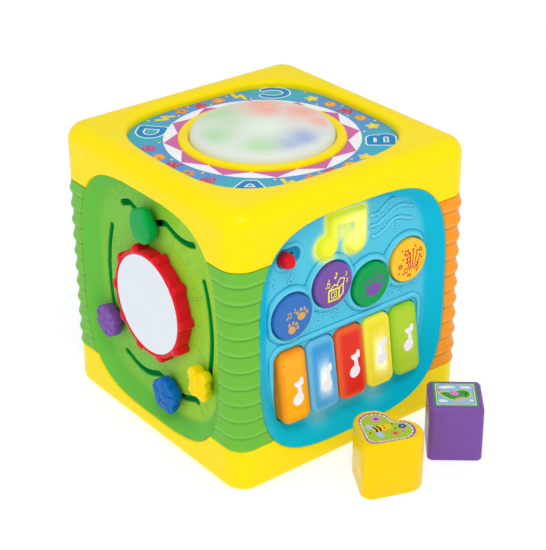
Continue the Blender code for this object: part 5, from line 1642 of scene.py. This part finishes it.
def make_heart_block():
    """The heart and its sticker: a bee among flowers."""
    where = turned_plane(HEART_PLACE[:2], BLOCK_TOP, HEART_PLACE[2])
    outline = heart_outline(HEART_SIZE[0] - 0.2, HEART_SIZE[1] - 0.2)
    surface = Surface().add(*loft(block_rings(outline, 4.6), back=True))
    yolk = plastic("heart_yellow", (252, 212, 0), 0.26)
    make_piece("heart_block_skin", surface, where, [yolk], "heart", "heart_block")
    art = Print("heart_block_print", layer=0.05)
    for inset, ink, level in ((5.6, "blush", 1), (6.1, "plum", 2), (7.9, "meadow", 3)):
        art.lay(outline(inset), [tuple(range(180))], ink, level)
    border = outline(7.9)
    gaps = np.cumsum(np.hypot(*np.diff(np.vstack([border, border[:1]]), axis=0).T))
    for distance in np.arange(0.0, gaps[-1], 2.1):
        art.disc(border[int(np.searchsorted(gaps, distance)) % 180], 0.72, "white", 4)
    for centre, radius, ink, level, stretch, turn in (
            ((-1.6, 10.4), 4.6, "pale_blue", 5, 0.62, 75), ((-6.4, -1.2), 4.6, "pale_blue", 5, 0.62, 60),
            ((2.6, 2.0), 8.4, "yolk", 6, 0.56, -32)):
        art.disc(centre, radius, ink, level, stretch, turn)
    for along in (-5.6, -2.4):
        stripe = [(along - 0.5, -3.4), (along + 0.5, 0.0), (along - 0.5, 3.4)]
        art.line(turned_path(stripe, (2.6, 2.0), 1.0, -32), 1.6, "ink", 7)
    for spot in ((11.5, -2.2), (7.6, -7.2), (-8.9, 6.3), (3.3, 0.1), (5.9, 2.8)):
        art.disc(spot, 0.75, "ink", 7)
    for centre, radius, petal, heart in (((11.0, 12.0), 4.4, "rose", "navy"), ((13.2, -10.4), 3.4, "navy", "rose"),
                                         ((1.4, -10.6), 3.4, "tangerine", "navy"),
                                         ((7.2, -14.4), 1.9, "rose", "cherry")):
        art.flower(centre, radius, petal, heart, 5)
    art.make(where, "heart")


def make_square_block():
    """The square block and its sticker: a bird among clouds."""
    where = turned_plane(SQUARE_PLACE[:2], BLOCK_TOP, SQUARE_PLACE[2])
    outline = rounded_box_outline((0.0, 0.0), (45.0, 45.0), 5.0, 12)
    surface = Surface().add(*loft(block_rings(outline, 3.6), back=True))
    violet = plastic("square_violet", (126, 84, 166), 0.28)
    make_piece("square_block_skin", surface, where, [violet], "square", "square_block")
    art = Print("square_block_print", layer=0.05)
    for size, ink, level in ((35.6, "leaf", 1), (31.6, "lemon", 2), (30.6, "white", 3), (29.0, "sky", 4)):
        art.lay(rounded_box_outline((0, 0), (size, size), 1.0)(0.0), [tuple(range(40))], ink, level)
    for k in range(11):
        place = -14.8 + 2.96 * k
        for spot in ((place, 15.2), (place, -15.2), (15.2, place), (-15.2, place)):
            art.disc(spot, 1.05, "white", 3)
    for x, y, r in ((-8.0, 10.6, 3.2), (-4.4, 11.2, 2.9), (-11.0, 10.2, 2.0), (-1.4, 10.6, 2.0), (6.6, 10.8, 2.1),
                    (9.4, 10.6, 2.4), (11.8, 10.4, 1.7), (-11.6, -9.8, 2.6), (-9.0, -10.4, 2.1), (12.4, -9.0, 1.8)):
        art.disc((x, y), r, "white", 5, 0.72)
    bird = [(12.0, 1.4), (10.6, 4.6), (6.4, 6.6), (1.6, 5.2), (-2.4, 2.4), (-8.4, 3.4), (-13.2, 1.6), (-9.4, -2.8),
            (-5.0, -7.0), (1.2, -9.2), (7.6, -7.0), (11.4, -2.2)]
    art.line(bird, 1.5, "lemon", 6, True)
    art.fill(bird, "leaf", 7)
    art.disc((3.6, -6.6), 4.6, "blush", 8, 0.46, 18)
    art.disc((-1.0, 1.2), 4.2, "rose", 8, 0.72, -28)
    art.disc((8.4, 1.2), 0.9, "ink", 8)
    art.fill([(11.4, 1.6), (14.2, -0.6), (11.2, -1.4)], "yolk", 8)
    art.flower((-13.0, 6.2), 2.2, "blush", "coral", 6)
    art.make(where, "square")


# ------------------------------------------------------------------ CAD nodes that stay

def dress_cad_nodes():
    """Inner pieces and small fittings keep their CAD shape and take a material of their own."""
    steel = Paint("zinc_plated", 0.32, metallic=1.0)
    steel.colour(linear((186, 188, 192))).surface(0.34, 0.08, 0.10, 1500.0)
    knobs = ("apple", "flower", "tulip", "butterfly")
    looks = {
        steel.material: [f"case_screw_{i}" for i in range(1, 5)] + ["battery_screw"] + [k + "_screw" for k in knobs],
        plastic("black_inner", (34, 34, 37), 0.45): ["mirror_retainer", "speaker", "battery_box"]
        + [k + "_washer" for k in knobs] + [f"battery_cell_{i}" for i in range(1, 4)],
        plastic("contact_grey", (120, 120, 122), 0.60): ["key_contact_mat"],
        plastic("board_green", (20, 104, 52), 0.30): ["main_board", "drum_light_board"],
        plastic("bin_cyan", (60, 188, 222), 0.34): ["sorter_bin"],
        plastic("door_yellow", SHELL_YELLOW, 0.34, 0.16): ["battery_door"],
    }
    for material, nodes in looks.items():
        for node in nodes:
            slots = frame["nodes"][node].data.materials
            slots.clear()
            slots.append(material)


# ------------------------------------------------------------------ stage, light and camera

FLOOR_HALF = 6.0
FLOOR_DROP = 0.0004
LIGHTS_AIM = (0.0, -0.02, 0.12)
CAMERA_PLACE = (-0.71193, -0.92422, 0.73328)
CAMERA_AIM = (0.007, -0.0034, 0.1097)
CAMERA_LENS = 101.6
CAMERA_ROLL = -0.48


def make_stage():
    """A pale floor under soft studio light."""
    size = FLOOR_HALF
    mesh = bpy.data.meshes.new("floor")
    mesh.from_pydata([(-size, -size, 0), (size, -size, 0), (size, size, 0), (-size, size, 0)], [], [(0, 1, 2, 3)])
    floor = bpy.data.objects.new("floor", mesh)
    bpy.context.scene.collection.objects.link(floor)
    floor.location.z = -FLOOR_DROP
    paint = Paint("studio_floor", 0.8)
    paint.shader.inputs["Base Color"].default_value = (0.48, 0.48, 0.51, 1.0)
    paint.glow([1.0, 1.0, 1.0], 0.64)
    mesh.materials.append(paint.material)

    world = bpy.data.worlds.new("studio")
    world.use_nodes = True
    background = world.node_tree.nodes["Background"]
    background.inputs["Color"].default_value = (1.0, 1.0, 1.0, 1.0)
    background.inputs["Strength"].default_value = 0.66
    bpy.context.scene.world = world


def make_lights():
    for name, place, size, power in (("key", (-0.45, -0.85, 1.45), (0.7, 0.5), 8.0),
                                     ("side", (-1.3, 0.15, 0.9), (0.5, 0.8), 1.6),
                                     ("fill", (1.1, -0.9, 0.8), (0.8, 0.8), 1.2)):
        lamp = bpy.data.lights.new(name, "AREA")
        lamp.shape = "RECTANGLE"
        lamp.size, lamp.size_y = size
        lamp.energy = power
        item = bpy.data.objects.new(name, lamp)
        item.location = place
        item.rotation_euler = (Vector(LIGHTS_AIM) - Vector(place)).to_track_quat("-Z", "Y").to_euler()
        bpy.context.scene.collection.objects.link(item)


def make_camera():
    camera = bpy.data.cameras.new("camera")
    camera.lens = CAMERA_LENS
    camera.sensor_width = 36.0
    camera.clip_end = 20.0
    item = bpy.data.objects.new("camera", camera)
    place = Vector(CAMERA_PLACE)
    turn = (Vector(CAMERA_AIM) - place).to_track_quat("-Z", "Y").to_matrix().to_4x4()
    roll = Matrix.Rotation(math.radians(CAMERA_ROLL), 4, "Z")
    item.matrix_world = Matrix.Translation(place) @ turn @ roll
    bpy.context.scene.collection.objects.link(item)
    bpy.context.scene.camera = item
    bpy.context.scene.view_settings.view_transform = "Standard"


for make in (make_camera, make_stage, make_lights, make_top_cap, make_bottom_cap, make_posts, make_piano_panel,
             make_keys, make_buttons, make_switch, make_note_lens, make_mirror_panel, make_mirror_ring,
             make_knobs, make_drum, make_sorter_side, make_gear_side, make_heart_block, make_square_block,
             dress_cad_nodes):
    make()
